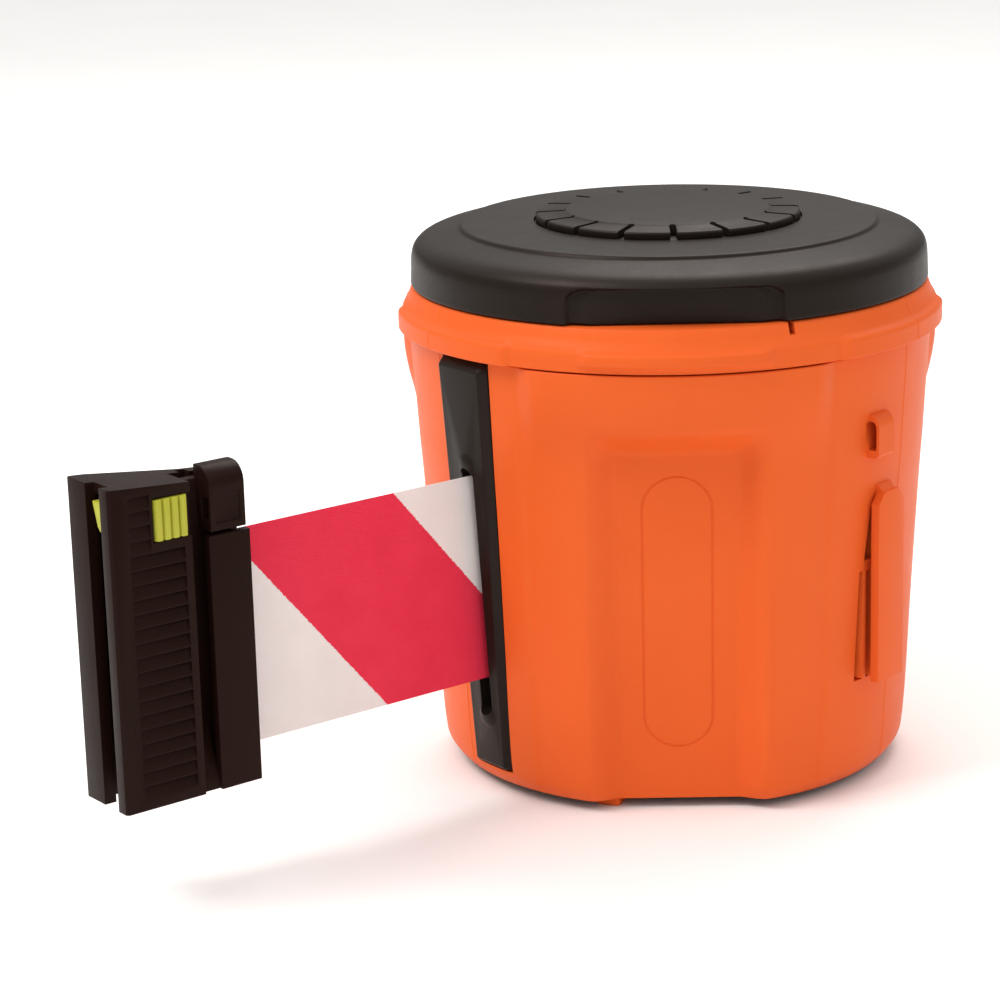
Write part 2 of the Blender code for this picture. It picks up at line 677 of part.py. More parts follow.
def build_end_fitting(root, black, steel, lime):
    chamfer = 0.8
    outline = [
        (END_HALF - chamfer, depth(0.0)), (END_HALF, depth(chamfer)), (END_HALF, depth(GRIP_DEPTH)),
        (-0.6, depth(GRIP_DEPTH)), (-0.6, depth(32.3)), (-3.7, depth(32.3)), (-3.7, depth(35.7)),
        (-0.6, depth(35.7)), (-0.6, depth(END_DEPTH)), (-CLAMP_HALF + chamfer, depth(END_DEPTH)),
        (-CLAMP_HALF, depth(END_DEPTH - chamfer)), (-CLAMP_HALF, depth(CLAMP_START)),
        (-END_HALF, depth(6.0)), (-END_HALF, depth(chamfer)),
        (-END_HALF + chamfer, depth(0.0)), (-1.0, depth(0.0)), (-1.0, depth(4.0)),
        (-6.5, depth(4.0)), (-6.5, depth(11.0)), (9.0, depth(11.0)), (9.0, depth(4.0)),
        (7.0, depth(4.0)), (7.0, depth(0.0)),
    ]
    block = add_object("end_block", prism_mesh("end_block", outline, END_LOW, END_HIGH), black, root)
    combine(block, top_wedge("block_top"), "DIFFERENCE", root)
    low, high = (1.4, depth(10.0), END_HIGH - 13.2), (6.6, depth(26.0), END_HIGH - 6.7)
    combine(block, box_mesh("latch_pocket", low, high), "DIFFERENCE", root)
    low, high = (5.0, depth(17.4), END_HIGH - 14.0), (13.0, depth(26.3), END_HIGH - 6.0)
    combine(block, box_mesh("thumb_way", low, high), "DIFFERENCE", root)
    low, high = (10.6, depth(14.8), END_HIGH - 18.6), (13.0, depth(30.0), END_HIGH - 5.2)
    combine(block, box_mesh("thumb_seat", low, high), "DIFFERENCE", root)
    for index, height in enumerate((END_LOW + 4.5, END_HIGH - 10.5)):
        spot = (0.0, depth(42.0), height)
        sideways = (0.0, math.radians(90.0), 0.0)
        bore = stepped_cutter(f"clamp_bore_{index + 1}", (3.0, -13.0), (1.5, CLAMP_SCREW_SEAT + 0.3), 3.9)
        combine(block, bore, "DIFFERENCE", root, spot, tilt=sideways)
        screw = screw_mesh(f"clamp_screw_{index + 1}", 2.5, 1.4, 1.15, 6.2)
        item = add_object(screw.name, screw, steel, root, (CLAMP_SCREW_SEAT, depth(42.0), height))
        item.rotation_euler = sideways
    pin = rod_mesh("clamp_pin", CLAMP_PIN_RADIUS, TAPE_LOW - 1.0, TAPE_HIGH + 1.0, 10)
    add_object(pin.name, pin, steel, root, (CLAMP_PIN_X, depth(34.0), 0.0))
    build_end_rail(root, black)
    build_latch(root, lime, steel)


def top_wedge(name):
    """Cutter over the fitting's top, which falls a little towards the tape."""
    rise, reach = 8.0, END_DEPTH + 5.0
    side = [(0.5, 0.0), (0.5, rise), (reach, rise), (reach, -TOP_FALL * (reach - 0.5))]
    points = [(x, depth(along), END_HIGH + up) for x in (-15.0, 15.0) for along, up in side]
    faces = [(0, 1, 2, 3), (7, 6, 5, 4)]
    for index in range(4):
        after = (index + 1) % 4
        faces.append((index, after, 4 + after, 4 + index))
    return mesh_from(name, points, faces)


def build_end_rail(root, black):
    head_low, head_high = 33.9, 48.5
    stem_low, stem_high = 39.0, 44.0
    rail_top = END_HIGH - 20.5
    start = GRIP_DEPTH + 0.5
    outline = [
        (0.6, depth(start)), (4.0, depth(start)), (4.0, depth(stem_low)), (9.0, depth(stem_low)),
        (9.0, depth(head_low)), (END_HALF, depth(head_low)), (END_HALF, depth(head_high)),
        (9.0, depth(head_high)), (9.0, depth(stem_high)), (4.0, depth(stem_high)),
        (4.0, depth(END_DEPTH)), (0.6, depth(END_DEPTH)),
    ]
    rail = add_object("end_rail", prism_mesh("end_rail", outline, END_LOW, rail_top), black, root)
    plate_top = END_HIGH - TOP_FALL * END_DEPTH
    upper = box_mesh("rail_upper", (0.6, depth(start), rail_top - 1.0), (4.0, depth(END_DEPTH), plate_top))
    combine(rail, upper, "UNION", root)
    eye_low, eye_high, radius = END_HIGH - 19.4, END_HIGH + 0.4, 5.0
    side = [(3.0, eye_low), (END_HALF - 0.4, eye_low)]
    for step in range(5):
        turn = math.radians(22.5 * step)
        out = END_HALF - 0.4 - radius + radius * math.cos(turn)
        side.append((out, eye_high - radius + radius * math.sin(turn)))
    side.append((3.0, eye_high))
    combine(rail, side_prism("rail_eye", side, depth(35.0), depth(47.5)), "UNION", root)
    hole = box_mesh("rail_eye_hole", (6.6, depth(32.0), eye_low + 3.2), (10.4, depth(43.0), eye_low + 10.2))
    combine(rail, hole, "DIFFERENCE", root)
    ramp = [
        (3.0, END_LOW), (10.5, END_LOW), (10.0, END_LOW + 4.0), (7.0, END_LOW + 12.0),
        (4.6, END_LOW + 22.0), (3.0, END_LOW + 30.0),
    ]
    combine(rail, side_prism("rail_ramp", ramp, depth(start), depth(head_low + 0.6)), "UNION", root)
    sideways = (0.0, math.radians(90.0), 0.0)
    for index, height in enumerate((END_LOW + 4.5, END_HIGH - 10.5)):
        bore = rod_mesh(f"rail_bore_{index + 1}", 1.5, -1.0, 3.9, 10)
        combine(rail, bore, "DIFFERENCE", root, (0.0, depth(42.0), height), tilt=sideways)


def side_prism(name, outline, low, high):
    """Extrude an outline of (x, z) along Y."""
    count = len(outline)
    points = [(x, low, z) for x, z in outline] + [(x, high, z) for x, z in outline]
    faces = [tuple(range(count)), tuple(reversed(range(count, 2 * count)))]
    for index in range(count):
        after = (index + 1) % count
        faces.append((index, after, count + after, count + index))
    return mesh_from(name, points, faces)


def build_latch(root, lime, steel):
    low, high = (11.0, depth(15.2), END_HIGH - 18.2), (13.0, depth(26.6), END_HIGH - 5.6)
    pad = box_mesh("latch", low, high, 0.4)
    latch = add_object("latch", pad, lime, root)
    stem = box_mesh("latch_stem", (5.0, depth(17.8), END_HIGH - 13.4), (11.5, depth(21.6), END_HIGH - 6.6))
    combine(latch, stem, "UNION", root)
    bar = box_mesh("latch_bar", (1.8, depth(6.0), END_HIGH - 12.6), (6.2, depth(20.2), END_HIGH - 7.2))
    combine(latch, bar, "UNION", root)
    barb = [
        (0.8, END_HIGH - 5.2), (6.6, END_HIGH - 5.2), (6.0, END_HIGH - 12.8),
        (4.6, END_HIGH - 14.2), (3.2, END_HIGH - 12.8),
    ]
    combine(latch, side_prism("latch_barb", barb, depth(1.2), depth(BARB_REACH)), "UNION", root)
    coil = coil_mesh("latch_spring", 1.5, 0.3, 3.6, 4, 8)
    item = add_object("latch_spring", coil, steel, root, (4.0, depth(22.1), END_HIGH - 10.0))
    item.rotation_euler = (math.radians(-90.0), 0.0, 0.0)


def coil_mesh(name, radius, wire, length, turns, steps):
    """Helical wire spring standing on height 0, square-ish in section."""
    total = turns * steps
    sections = []
    for step in range(total + 1):
        turn = 2.0 * math.pi * step / steps
        rise = wire + (length - 2.0 * wire) * step / total
        section = []
        for around in (0.0, math.pi / 2.0, math.pi, 1.5 * math.pi):
            reach = radius + wire * math.cos(around)
            height = rise + wire * math.sin(around)
            section.append((reach * math.cos(turn), reach * math.sin(turn), height))
        sections.append(section)
    return strip_mesh(name, sections)


# ---------------------------------------------------------------- lid, dial and brake

LID_ANGLES = sector_angles([
    -24.6, -22.4, -15.0, -7.5, 0.0, 7.5, 15.0, 22.4, 24.6, 32.0, 41.0, 50.5,
    60.0, 69.5, 79.0, 88.0,
])


def lid_radius(angle, radius, height, inset=0.0):
    flat = (SCALLOP_DISTANCE - inset) / math.cos(math.radians(panel_offset(angle)))
    share = 1.0 - smooth_step(SCALLOP_LOW, SCALLOP_HIGH, height)
    return radius + (min(flat, radius) - radius) * share


def build_lid(root, black):
    outer = [
        (86.7, LID_EDGE), (86.5, 168.0), (86.3, 171.0), (86.0, 172.8), (85.4, 174.4), (83.4, 176.6),
        (80.5, 178.0), (70.2, 180.5), (69.4, 181.7), (45.8, 182.9), (45.8, 180.7), (10.4, 180.7),
    ]
    inner = [(10.4, 178.4), (69.0, 177.9), (81.0, 174.6), (83.7, 171.0), (84.2, LID_EDGE)]

    def loop(angle):
        section = [(lid_radius(angle, radius, height), height) for radius, height in outer]
        section += [(lid_radius(angle, radius, height, LID_WALL), height) for radius, height in inner]
        return section

    add_object("lid", lofted_mesh("lid", LID_ANGLES, loop, 30.0), black, root)


def build_dial(root, black, steel):
    profile = [
        (0.0, DIAL_TOP), (34.3, DIAL_TOP), (44.4, 184.0), (DIAL_RADIUS, 183.2), (DIAL_RADIUS, 181.1),
        (9.9, 181.1), (9.9, 167.2), (1.9, 167.2), (1.9, 177.0), (0.0, 177.0),
    ]
    dial = add_object("lock_dial", turned_mesh("lock_dial", profile, 48), black, root)
    notch = box_mesh("dial_notch", (-1.0, -47.0, 183.3), (1.0, -35.2, 186.0))
    for index in range(DIAL_NOTCHES):
        turn = PANEL_ANGLE + 1.0 + 360.0 * index / DIAL_NOTCHES
        combine(dial, notch, "DIFFERENCE", root, turn=turn)
    clip = [(10.25, 176.4), (13.5, 176.4), (13.5, 177.9), (10.25, 177.9)]
    add_object("dial_clip", turned_mesh("dial_clip", clip, 20), steel, root)
    screw = screw_mesh("dial_screw", 4.5, 2.4, 1.6, 12.0)
    add_object("dial_screw", screw, steel, root, (0.0, 0.0, 164.4))

    def loop(angle):
        floor = CAM_FLOOR - cam_drop(angle)
        return [(3.0, 166.8), (37.0, 166.8), (37.0, floor), (27.0, floor), (27.0, 164.9), (3.0, 164.9)]

    angles = [360.0 * step / 48 for step in range(48)]
    add_object("dial_cam", lofted_mesh("dial_cam", angles, loop), black, root)


def cam_drop(angle):
    """Depth of the cam's ramp; it meets the plunger as the dial turns anticlockwise by 45 degrees."""
    behind = (180.0 - angle) % 360.0
    rest_half = 8.0
    if behind > 180.0:
        return 0.0
    rise = min(1.0, max(0.0, (behind - rest_half) / CAM_TURN))
    return PLUNGER_TRAVEL * rise * (1.0 - smooth_step(80.0, 95.0, behind))


def build_brake(root, black, steel):
    plunger = turned_mesh("brake_plunger", [
        (0.0, 138.2), (3.0, 138.2), (3.6, 139.0), (3.6, 160.8), (6.4, 160.8), (6.4, 163.2), (0.0, 163.2),
    ], 16)
    add_object("brake_plunger", plunger, black, root, (0.0, PLUNGER_Y, 0.0))
    spring = coil_mesh("plunger_spring", 5.0, 0.5, 6.2, 3, 10)
    add_object("plunger_spring", spring, steel, root, (0.0, PLUNGER_Y, 154.2))


def main():
    clear_scene()
    orange = make_finish("orange_plastic", (0.82, 0.13, 0.022), 0.42)
    black = make_finish("black_plastic", (0.022, 0.019, 0.018), 0.5)
    rubber = make_finish("rubber", (0.03, 0.03, 0.03), 0.8)
    steel = make_finish("steel", (0.55, 0.55, 0.56), 0.35, 1.0)
    lime = make_finish("lime_plastic", (0.52, 0.62, 0.02), 0.4)
    white = make_finish("tape_white", (0.82, 0.78, 0.77), 0.8)

    root = bpy.data.objects.new("unit", None)
    bpy.context.scene.collection.objects.link(root)
    root.location = (0.0, 0.0, -SEAT_HEIGHT * MM)

    build_body_shell(root, orange)
    build_base(root, orange, black, rubber, steel)
    build_spindle(root, black, steel)
    build_collar(root, orange)
    build_bezel(root, black, steel)
    for label, angle in RECEIVER_ANGLES.items():
        build_receiver(root, orange, label, angle)
    build_reel(root, black, steel, white)
    build_tape(root, white)
    build_end_fitting(root, black, steel, lime)
    build_lid(root, black)
    build_dial(root, black, steel)
    build_brake(root, black, steel)


main()
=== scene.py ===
"""Looks of a cone-top retractable barrier-tape unit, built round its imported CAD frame.

Shapes are modelled in millimetres, with heights counted from the drum's lower edge and angles
counted from -Y, the way the tape is pulled, towards +X.
"""

import json
import math

import bmesh
import bpy
from mathutils import Euler, Matrix, Vector


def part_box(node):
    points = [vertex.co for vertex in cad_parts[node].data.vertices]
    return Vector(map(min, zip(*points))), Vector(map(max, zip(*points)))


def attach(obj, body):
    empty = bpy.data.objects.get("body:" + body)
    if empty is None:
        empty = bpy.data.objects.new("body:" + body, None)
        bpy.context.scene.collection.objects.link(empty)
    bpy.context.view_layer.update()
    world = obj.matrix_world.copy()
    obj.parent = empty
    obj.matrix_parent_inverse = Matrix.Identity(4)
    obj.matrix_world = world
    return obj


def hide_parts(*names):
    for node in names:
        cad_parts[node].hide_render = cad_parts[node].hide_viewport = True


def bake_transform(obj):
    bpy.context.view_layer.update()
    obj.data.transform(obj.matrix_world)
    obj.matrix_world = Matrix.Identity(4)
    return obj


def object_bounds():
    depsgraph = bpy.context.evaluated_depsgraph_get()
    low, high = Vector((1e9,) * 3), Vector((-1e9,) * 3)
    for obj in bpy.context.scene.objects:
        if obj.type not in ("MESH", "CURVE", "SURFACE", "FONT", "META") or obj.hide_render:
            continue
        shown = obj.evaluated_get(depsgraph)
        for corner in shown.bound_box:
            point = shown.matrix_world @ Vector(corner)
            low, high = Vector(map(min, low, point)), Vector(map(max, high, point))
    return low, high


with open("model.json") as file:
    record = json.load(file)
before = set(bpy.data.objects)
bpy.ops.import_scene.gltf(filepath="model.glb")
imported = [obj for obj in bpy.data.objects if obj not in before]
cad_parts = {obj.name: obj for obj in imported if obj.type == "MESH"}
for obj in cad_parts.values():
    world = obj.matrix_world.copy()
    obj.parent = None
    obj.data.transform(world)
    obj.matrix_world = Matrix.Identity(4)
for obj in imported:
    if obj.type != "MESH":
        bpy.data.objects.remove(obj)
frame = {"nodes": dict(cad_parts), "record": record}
cad_low, cad_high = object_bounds()

MM = 0.001
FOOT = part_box("body_shell")[0].z


def node_box(name):
    """A CAD node's box in millimetres, with heights counted from the drum's lower edge."""
    low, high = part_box(name)
    return (low - Vector((0.0, 0.0, FOOT))) / MM, (high - Vector((0.0, 0.0, FOOT))) / MM


# A place on -Y that is clear of every wall, where cutters start
OUTSIDE = -95.0

# Drum
DRUM_TOP = node_box("body_shell")[1].z
WALL = 3.0
FILLET_TOP = 5.0
PANEL_ANGLE = 50.5
STATION_OFFSET = 60.0
PANEL_FOOT = 67.5
PANEL_SLOPE = 0.069
PANEL_FLAT_HALF = 21.0
PANEL_WALL_HALF = 30.0
PANEL_FADE_LOW = 118.0
PANEL_FADE_HIGH = 129.0
PANEL_SOFTNESS = 1.2
STATION_HALF_ANGLE = 24.5
STATION_RAISE = 0.6
STATION_RISE_LOW, STATION_LEAN = 110.0, 0.056
RIDGE_RAISE = 0.22
RIDGE_HALF_WIDTH = 0.35
BOSS_ANGLE, BOSS_REACH, BOSS_RADIUS, BOSS_LOW, BOSS_HIGH = 334.5, 67.0, 4.6, 5.6, 15.0
DRUM_RADII = [
    (0.0, 75.8), (1.5, 77.0), (5.0, 78.6), (20.0, 79.9), (47.0, 81.2), (97.0, 84.0),
    (110.0, 84.9), (116.0, 85.4), (120.0, 86.0), (125.0, 87.0), (130.0, 88.3), (136.0, 89.4),
    (141.0, 89.9), (150.0, 90.0),
]

# Outline groove on the front panel
PILL_LOW, PILL_HIGH, PILL_HALF_WIDTH, PILL_GROOVE = 18.5, 111.5, 11.2, 0.5

# Collar and lid
COLLAR_LOW, COLLAR_TOP = (corner.z for corner in node_box("collar"))
PRY_NOTCH_OFFSET = 24.5
COLLAR_RADII = [(147.8, 90.0), (153.0, 90.0), (155.2, 89.2), (157.5, 87.9), (159.8, 87.0), (161.4, 86.3)]
LID_EDGE = node_box("lid")[0].z
LID_WALL = 2.5
SCALLOP_DISTANCE, SCALLOP_LOW, SCALLOP_HIGH = 79.5, 172.6, 174.0
SCALLOP_HALF_ANGLE, SCALLOP_SIDE, SCALLOP_CORNER = 23.2, 2.4, 4.0
DIAL_TOP = node_box("lock_dial")[1].z
DIAL_RADIUS = node_box("lock_dial")[1].x - 1.0
DIAL_NOTCHES = 16

# Slot bezel
BEZEL_LOW, BEZEL_HIGH = (corner.z for corner in node_box("slot_bezel"))
BEZEL_HALF_HIGH = node_box("slot_bezel")[1].x
BEZEL_SPREAD, BEZEL_CHAMFER, BEZEL_BEVEL, BEZEL_THICKNESS = 0.02, 2.3, 0.8, 7.0
BEZEL_FACE_LOW, BEZEL_LEAN = 80.5, 0.0652
SLOT_LOW, SLOT_HIGH, SLOT_HALF_WIDTH = 24.5, 110.5, 2.8
SLOT_BUMP = [(4.6, -0.8), (4.5, -0.1), (4.1, 0.1), (3.4, 0.55), (2.5, 0.95), (1.4, 1.2), (0.4, 1.28)]

# Receivers
RECEIVER_ANGLES = {"side": 103.0, "rear": 223.0}
RAIL_HALF_WIDTH, RAIL_HEAD, RECEIVER_FACE = 7.5, 3.0, 88.5
RECEIVER_LOW, RECEIVER_HIGH = 36.0, 100.0
RAIL_CORNER, SHELF_LOW = 3.6, 73.0
PLATE_SLOTS = [(-10.6, -7.6, 37.5, 72.0), (-6.2, -2.9, 37.5, 72.0), (-7.6, -2.9, 78.0, 99.5)]

# Tape
TAPE_LOW, TAPE_HIGH = (corner.z for corner in node_box("tape_strip"))
TAPE_HALF_THICKNESS = 0.2
ROLL_INNER, ROLL_RADIUS, ROLL_LAYERS = 42.4, 53.1, 14
PIN_X, PIN_Y, PIN_RADIUS = 3.0, -72.0, 2.4
STRIPE_WIDTH, STRIPE_START, STRIPE_SLOPE = 64.2, 89.6, 1.19
WEAVE_PITCH = 0.55

# End fitting; depth is counted from the end face towards the drum
END_FACE = node_box("end_block")[0].y
END_LOW, END_HIGH = (corner.z for corner in node_box("end_block"))
END_HALF = node_box("end_block")[1].x
GRIP_DEPTH, END_DEPTH, CLAMP_REACH = 28.0, 49.0, 30.4
CLAMP_HALF, CLAMP_START, CLAMP_SCREW_SEAT, TOP_FALL = 5.0, 34.5, -3.5, 0.078
RIB_COUNT, RIB_PITCH, RIB_HEIGHT = 21, 4.5, 3.8
RIB_START, RIB_LENGTH, RIB_SHORT = 6.5, 18.9, 7.3

# Floor, in metres, and camera
FLOOR_HALF_WIDTH = 7.0
CAMERA_AZIMUTH, CAMERA_DISTANCE, CAMERA_HEIGHT = 49.0, 978.1, 352.6
CAMERA_LENS, CAMERA_YAW, CAMERA_PITCH, CAMERA_ROLL = 106.0, -3.441, 15.344, -1.547


# ---- mesh helpers

def smooth_step(low, high, value):
    share = min(1.0, max(0.0, (value - low) / (high - low)))
    return share * share * (3.0 - 2.0 * share)


def soft_min(first, second, softness):
    return 0.5 * (first + second - math.hypot(first - second, softness))


def spread(low, high, count):
    return [low + (high - low) * step / count for step in range(count + 1)]


def curve_value(points, value):
    """Read a smooth curve through points of (x, y) that never overshoots them."""
    if value <= points[0][0]:
        return points[0][1]
    if value >= points[-1][0]:
        return points[-1][1]
    slopes = [(y1 - y0) / (x1 - x0) for (x0, y0), (x1, y1) in zip(points, points[1:])]
    index = next(i for i in range(len(slopes)) if value <= points[i + 1][0])

    def tangent(spot):
        if spot == 0 or spot == len(slopes):
            return slopes[min(spot, len(slopes) - 1)]
        before, after = slopes[spot - 1], slopes[spot]
        if before * after <= 0.0:
            return 0.0
        return 2.0 * before * after / (before + after)

    (x0, y0), (x1, y1) = points[index], points[index + 1]
    width = x1 - x0
    t = (value - x0) / width
    rise = y1 - y0
    start, end = tangent(index) * width, tangent(index + 1) * width
    return y0 + start * t + (3.0 * rise - 2.0 * start - end) * t * t + (start + end - 2.0 * rise) * t ** 3


def smooth_run(points, steps):
    """Sample a Catmull-Rom curve through points of (x, y)."""
    ends = [points[0]] + list(points) + [points[-1]]
    run = []
    for index in range(1, len(ends) - 2):
        p0, p1, p2, p3 = (Vector(ends[index + shift]) for shift in (-1, 0, 1, 2))
        for step in range(steps):
            t = step / steps
            spot = 2.0 * p1 + (p2 - p0) * t
            spot += (2.0 * p0 - 5.0 * p1 + 4.0 * p2 - p3) * t * t
            spot += (3.0 * p1 - p0 - 3.0 * p2 + p3) * t ** 3
            run.append(tuple(0.5 * spot))
    return run + [tuple(points[-1])]


def polar(angle, radius, height):
    turn = math.radians(angle)
    return (radius * math.sin(turn), -radius * math.cos(turn), height)


def turn_point(x, y, z, angle):
    """A point turned about the drum's axis by an angle in degrees."""
    cos, sin = math.cos(math.radians(angle)), math.sin(math.radians(angle))
    return (x * cos - y * sin, x * sin + y * cos, z)


def finish_mesh(mesh, bm, sharp_angle):
    bmesh.ops.recalc_face_normals(bm, faces=bm.faces)
    bm.to_mesh(mesh)
    bm.free()
    mesh.shade_smooth()
    mesh.set_sharp_from_angle(angle=math.radians(sharp_angle))


def mesh_from(name, points, faces, sharp_angle=35.0):
    """Points in millimetres above the drum's lower edge, made into a mesh in world metres."""
    bm = bmesh.new()
    vertices = [bm.verts.new(Vector(point) * MM + Vector((0.0, 0.0, FOOT))) for point in points]
    for face in faces:
        bm.faces.new([vertices[index] for index in face])
    mesh = bpy.data.meshes.new(name)
    finish_mesh(mesh, bm, sharp_angle)
    return mesh


def turned_mesh(name, profile, segments=160, sharp_angle=35.0, centre=(0.0, 0.0)):
    """Revolve a closed profile of (radius, height); points of radius 0 close it on the axis."""
    points = []
    rows = []
    for radius, height in profile:
        count = 1 if radius == 0.0 else segments
        rows.append(list(range(len(points), len(points) + count)))
        for step in range(count):
            x, y, z = polar(360.0 * step / segments, radius, height)
            points.append((x + centre[0], y + centre[1], z))
    faces = []
    for index, row in enumerate(rows):
        following = rows[(index + 1) % len(rows)]
        if len(row) == 1 and len(following) == 1:
            continue
        for step in range(segments):
            after = (step + 1) % segments
            if len(row) == 1:
                faces.append((row[0], following[step], following[after]))
            elif len(following) == 1:
                faces.append((row[step], following[0], row[after]))
            else:
                faces.append((row[step], following[step], following[after], row[after]))
    return mesh_from(name, points, faces, sharp_angle)


def lofted_mesh(name, angles, loop, sharp_angle=35.0):
    """Join sections around the axis; loop(angle) gives a closed list of (radius, height)."""
    points = []
    for angle in angles:
        points.extend(polar(angle, radius, height) for radius, height in loop(angle))
    size = len(points) // len(angles)
    faces = []
    for section in range(len(angles)):
        here = section * size
        there = ((section + 1) % len(angles)) * size
        for index in range(size):
            after = (index + 1) % size
            faces.append((here + index, there + index, there + after, here + after))
    return mesh_from(name, points, faces, sharp_angle)


def swept_mesh(name, sections, sharp_angle=35.0, ring=False):
    """Join a run of sections with equal numbers of corners, with two end faces or into a ring."""
    size = len(sections[0])
    points = [corner for section in sections for corner in section]
    last = size * (len(sections) - 1)
    faces = []
    if not ring:
        faces = [tuple(range(size)), tuple(last + corner for corner in reversed(range(size)))]
    for here in range(0, len(points) if ring else last, size):
        there = (here + size) % len(points)
        for corner in range(size):
            after = (corner + 1) % size
            faces.append((here + corner, here + after, there + after, there + corner))
    return mesh_from(name, points, faces, sharp_angle)


def plan_prism(name, outline, low, high, lean=0.0, turn=0.0):
    """Extrude a plan outline of (x, y) upwards, leaning along -Y and turned about the axis."""
    sections = []
    for height in (low, high):
        sections.append([turn_point(x, y - lean * (height - low), height, turn) for x, y in outline])
    return swept_mesh(name, sections)


def front_prism(name, outline, front, back, turn=0.0):
    """Extrude an outline of (x, z) along Y, turned about the axis."""
    return swept_mesh(name, [[turn_point(x, y, z, turn) for x, z in outline] for y in (front, back)])


def side_prism(name, outline, left, right, turn=0.0):
    """Extrude an outline of (y, z) along X, turned about the axis."""
    return swept_mesh(name, [[turn_point(x, y, z, turn) for y, z in outline] for x in (left, right)])


def box_mesh(name, low, high, turn=0.0):
    """Box between two corners, turned about the axis."""
    outline = [(low[0], low[1]), (high[0], low[1]), (high[0], high[1]), (low[0], high[1])]
    return plan_prism(name, outline, low[2], high[2], 0.0, turn)


def arc(centre, radius, start, end, steps):
    """Points on an arc, with angles counted from the first axis to the second."""
    turns = [math.radians(angle) for angle in spread(start, end, steps)]
    return [(centre[0] + radius * math.cos(t), centre[1] + radius * math.sin(t)) for t in turns]


# ---- piece helpers

def make_piece(name, mesh, finish, body, nodes=()):
    """Add a visible piece that rides on a body and stands for the CAD nodes given."""
    item = bpy.data.objects.new(name, mesh)
    bpy.context.scene.collection.objects.link(item)
    mesh.materials.clear()
    mesh.materials.append(finish)
    if body:
        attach(item, body)
    if nodes:
        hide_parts(*nodes)
    return item


def combine(target, meshes, operation="DIFFERENCE", solver="MANIFOLD"):
    """Cut helper meshes out of a piece, or join them on, and keep the result."""
    for mesh in meshes:
        helper = bpy.data.objects.new(mesh.name, mesh)
        bpy.context.scene.collection.objects.link(helper)
        modifier = target.modifiers.new(mesh.name, "BOOLEAN")
        modifier.operation = operation
        modifier.object = helper
        modifier.solver = solver
        apply_modifiers(target)
        bpy.data.objects.remove(helper, do_unlink=True)


def apply_modifiers(item, sharp_angle=35.0):
    graph = bpy.context.evaluated_depsgraph_get()
    mesh = bpy.data.meshes.new_from_object(item.evaluated_get(graph))
    finish = item.data.materials[0]
    item.modifiers.clear()
    item.data = mesh
    mesh.materials.clear()
    mesh.materials.append(finish)
    mesh.shade_smooth()
    mesh.set_sharp_from_angle(angle=math.radians(sharp_angle))


def round_edges(item, width, segments=3, angle=40.0):
    modifier = item.modifiers.new("rounded edges", "BEVEL")
    modifier.width = width * MM
    modifier.segments = segments
    modifier.limit_method = "ANGLE"
    modifier.angle_limit = math.radians(angle)
    apply_modifiers(item, 40.0)


# ---- materials

def add_node(tree, kind, inputs=(), **settings):
    node = tree.nodes.new(f"ShaderNode{kind}")
    for key, value in settings.items():
        setattr(node, key, value)
    for key, value in dict(inputs).items():
        if isinstance(value, bpy.types.NodeSocket):
            tree.links.new(value, node.inputs[key])
        else:
            node.inputs[key].default_value = value
    return node


def compute(tree, operation, first, second=0.0):
    return add_node(tree, "Math", {0: first, 1: second}, operation=operation).outputs[0]


def new_material(name, **sockets):
    finish = bpy.data.materials.new(name)
    finish.use_nodes = True
    tree = finish.node_tree
    shader = tree.nodes["Principled BSDF"]
    for key, value in sockets.items():
        shader.inputs[key.replace("_", " ")].default_value = value
    spot = add_node(tree, "TexCoord").outputs["Object"]
    return finish, tree, shader, spot


def noise_at(tree, spot, scale, detail=2.0, roughness=0.5):
    inputs = {"Vector": spot, "Scale": scale, "Detail": detail, "Roughness": roughness}
    return add_node(tree, "TexNoise", inputs).outputs["Fac"]


def opaque(colour):
    """A socket as it is, or a colour's three numbers with full alpha added."""
    return colour if isinstance(colour, bpy.types.NodeSocket) else (*colour, 1.0)


def blend_colours(tree, share, first, second, mode="MIX"):
    inputs = {"Factor": share, 6: opaque(first), 7: opaque(second)}
    return add_node(tree, "Mix", inputs, data_type="RGBA", blend_type=mode).outputs[2]


def map_range(tree, value, low, high, start=0.3, end=0.7):
    inputs = {"Value": value, "From Min": start, "From Max": end, "To Min": low, "To Max": high}
    return add_node(tree, "MapRange", inputs).outputs["Result"]


def add_bump(tree, height, distance, strength=1.0, under=None):
    inputs = {"Height": height, "Distance": distance, "Strength": strength}
    if under is not None:
        inputs["Normal"] = under
    return add_node(tree, "Bump", inputs).outputs["Normal"]


def moulded_plastic(name, colour, shade, roughness, grain, specular=0.5):
    """Moulded plastic: slight colour drift, spark-eroded grain and a few handling rubs."""
    finish, tree, shader, spot = new_material(
        name, Specular_IOR_Level=specular, Specular_Tint=(1.0, 0.86, 0.78, 1.0),
    )
    link = tree.links.new
    drift = map_range(tree, noise_at(tree, spot, 22.0, 3.0), 0.0, 1.0)
    link(blend_colours(tree, drift, colour, shade), shader.inputs["Base Color"])
    rub = map_range(tree, noise_at(tree, spot, 60.0, 4.0, 0.6), roughness[0], roughness[1])
    fine = map_range(tree, noise_at(tree, spot, 1400.0, 1.0), -0.03, 0.03)
    link(compute(tree, "ADD", rub, fine), shader.inputs["Roughness"])
    coarse = add_bump(tree, noise_at(tree, spot, 240.0, 2.0), 0.00004, 0.5)
    spark = noise_at(tree, spot, 1900.0, 2.0, 0.6)
    link(add_bump(tree, spark, grain, 0.55, coarse), shader.inputs["Normal"])
    return finish


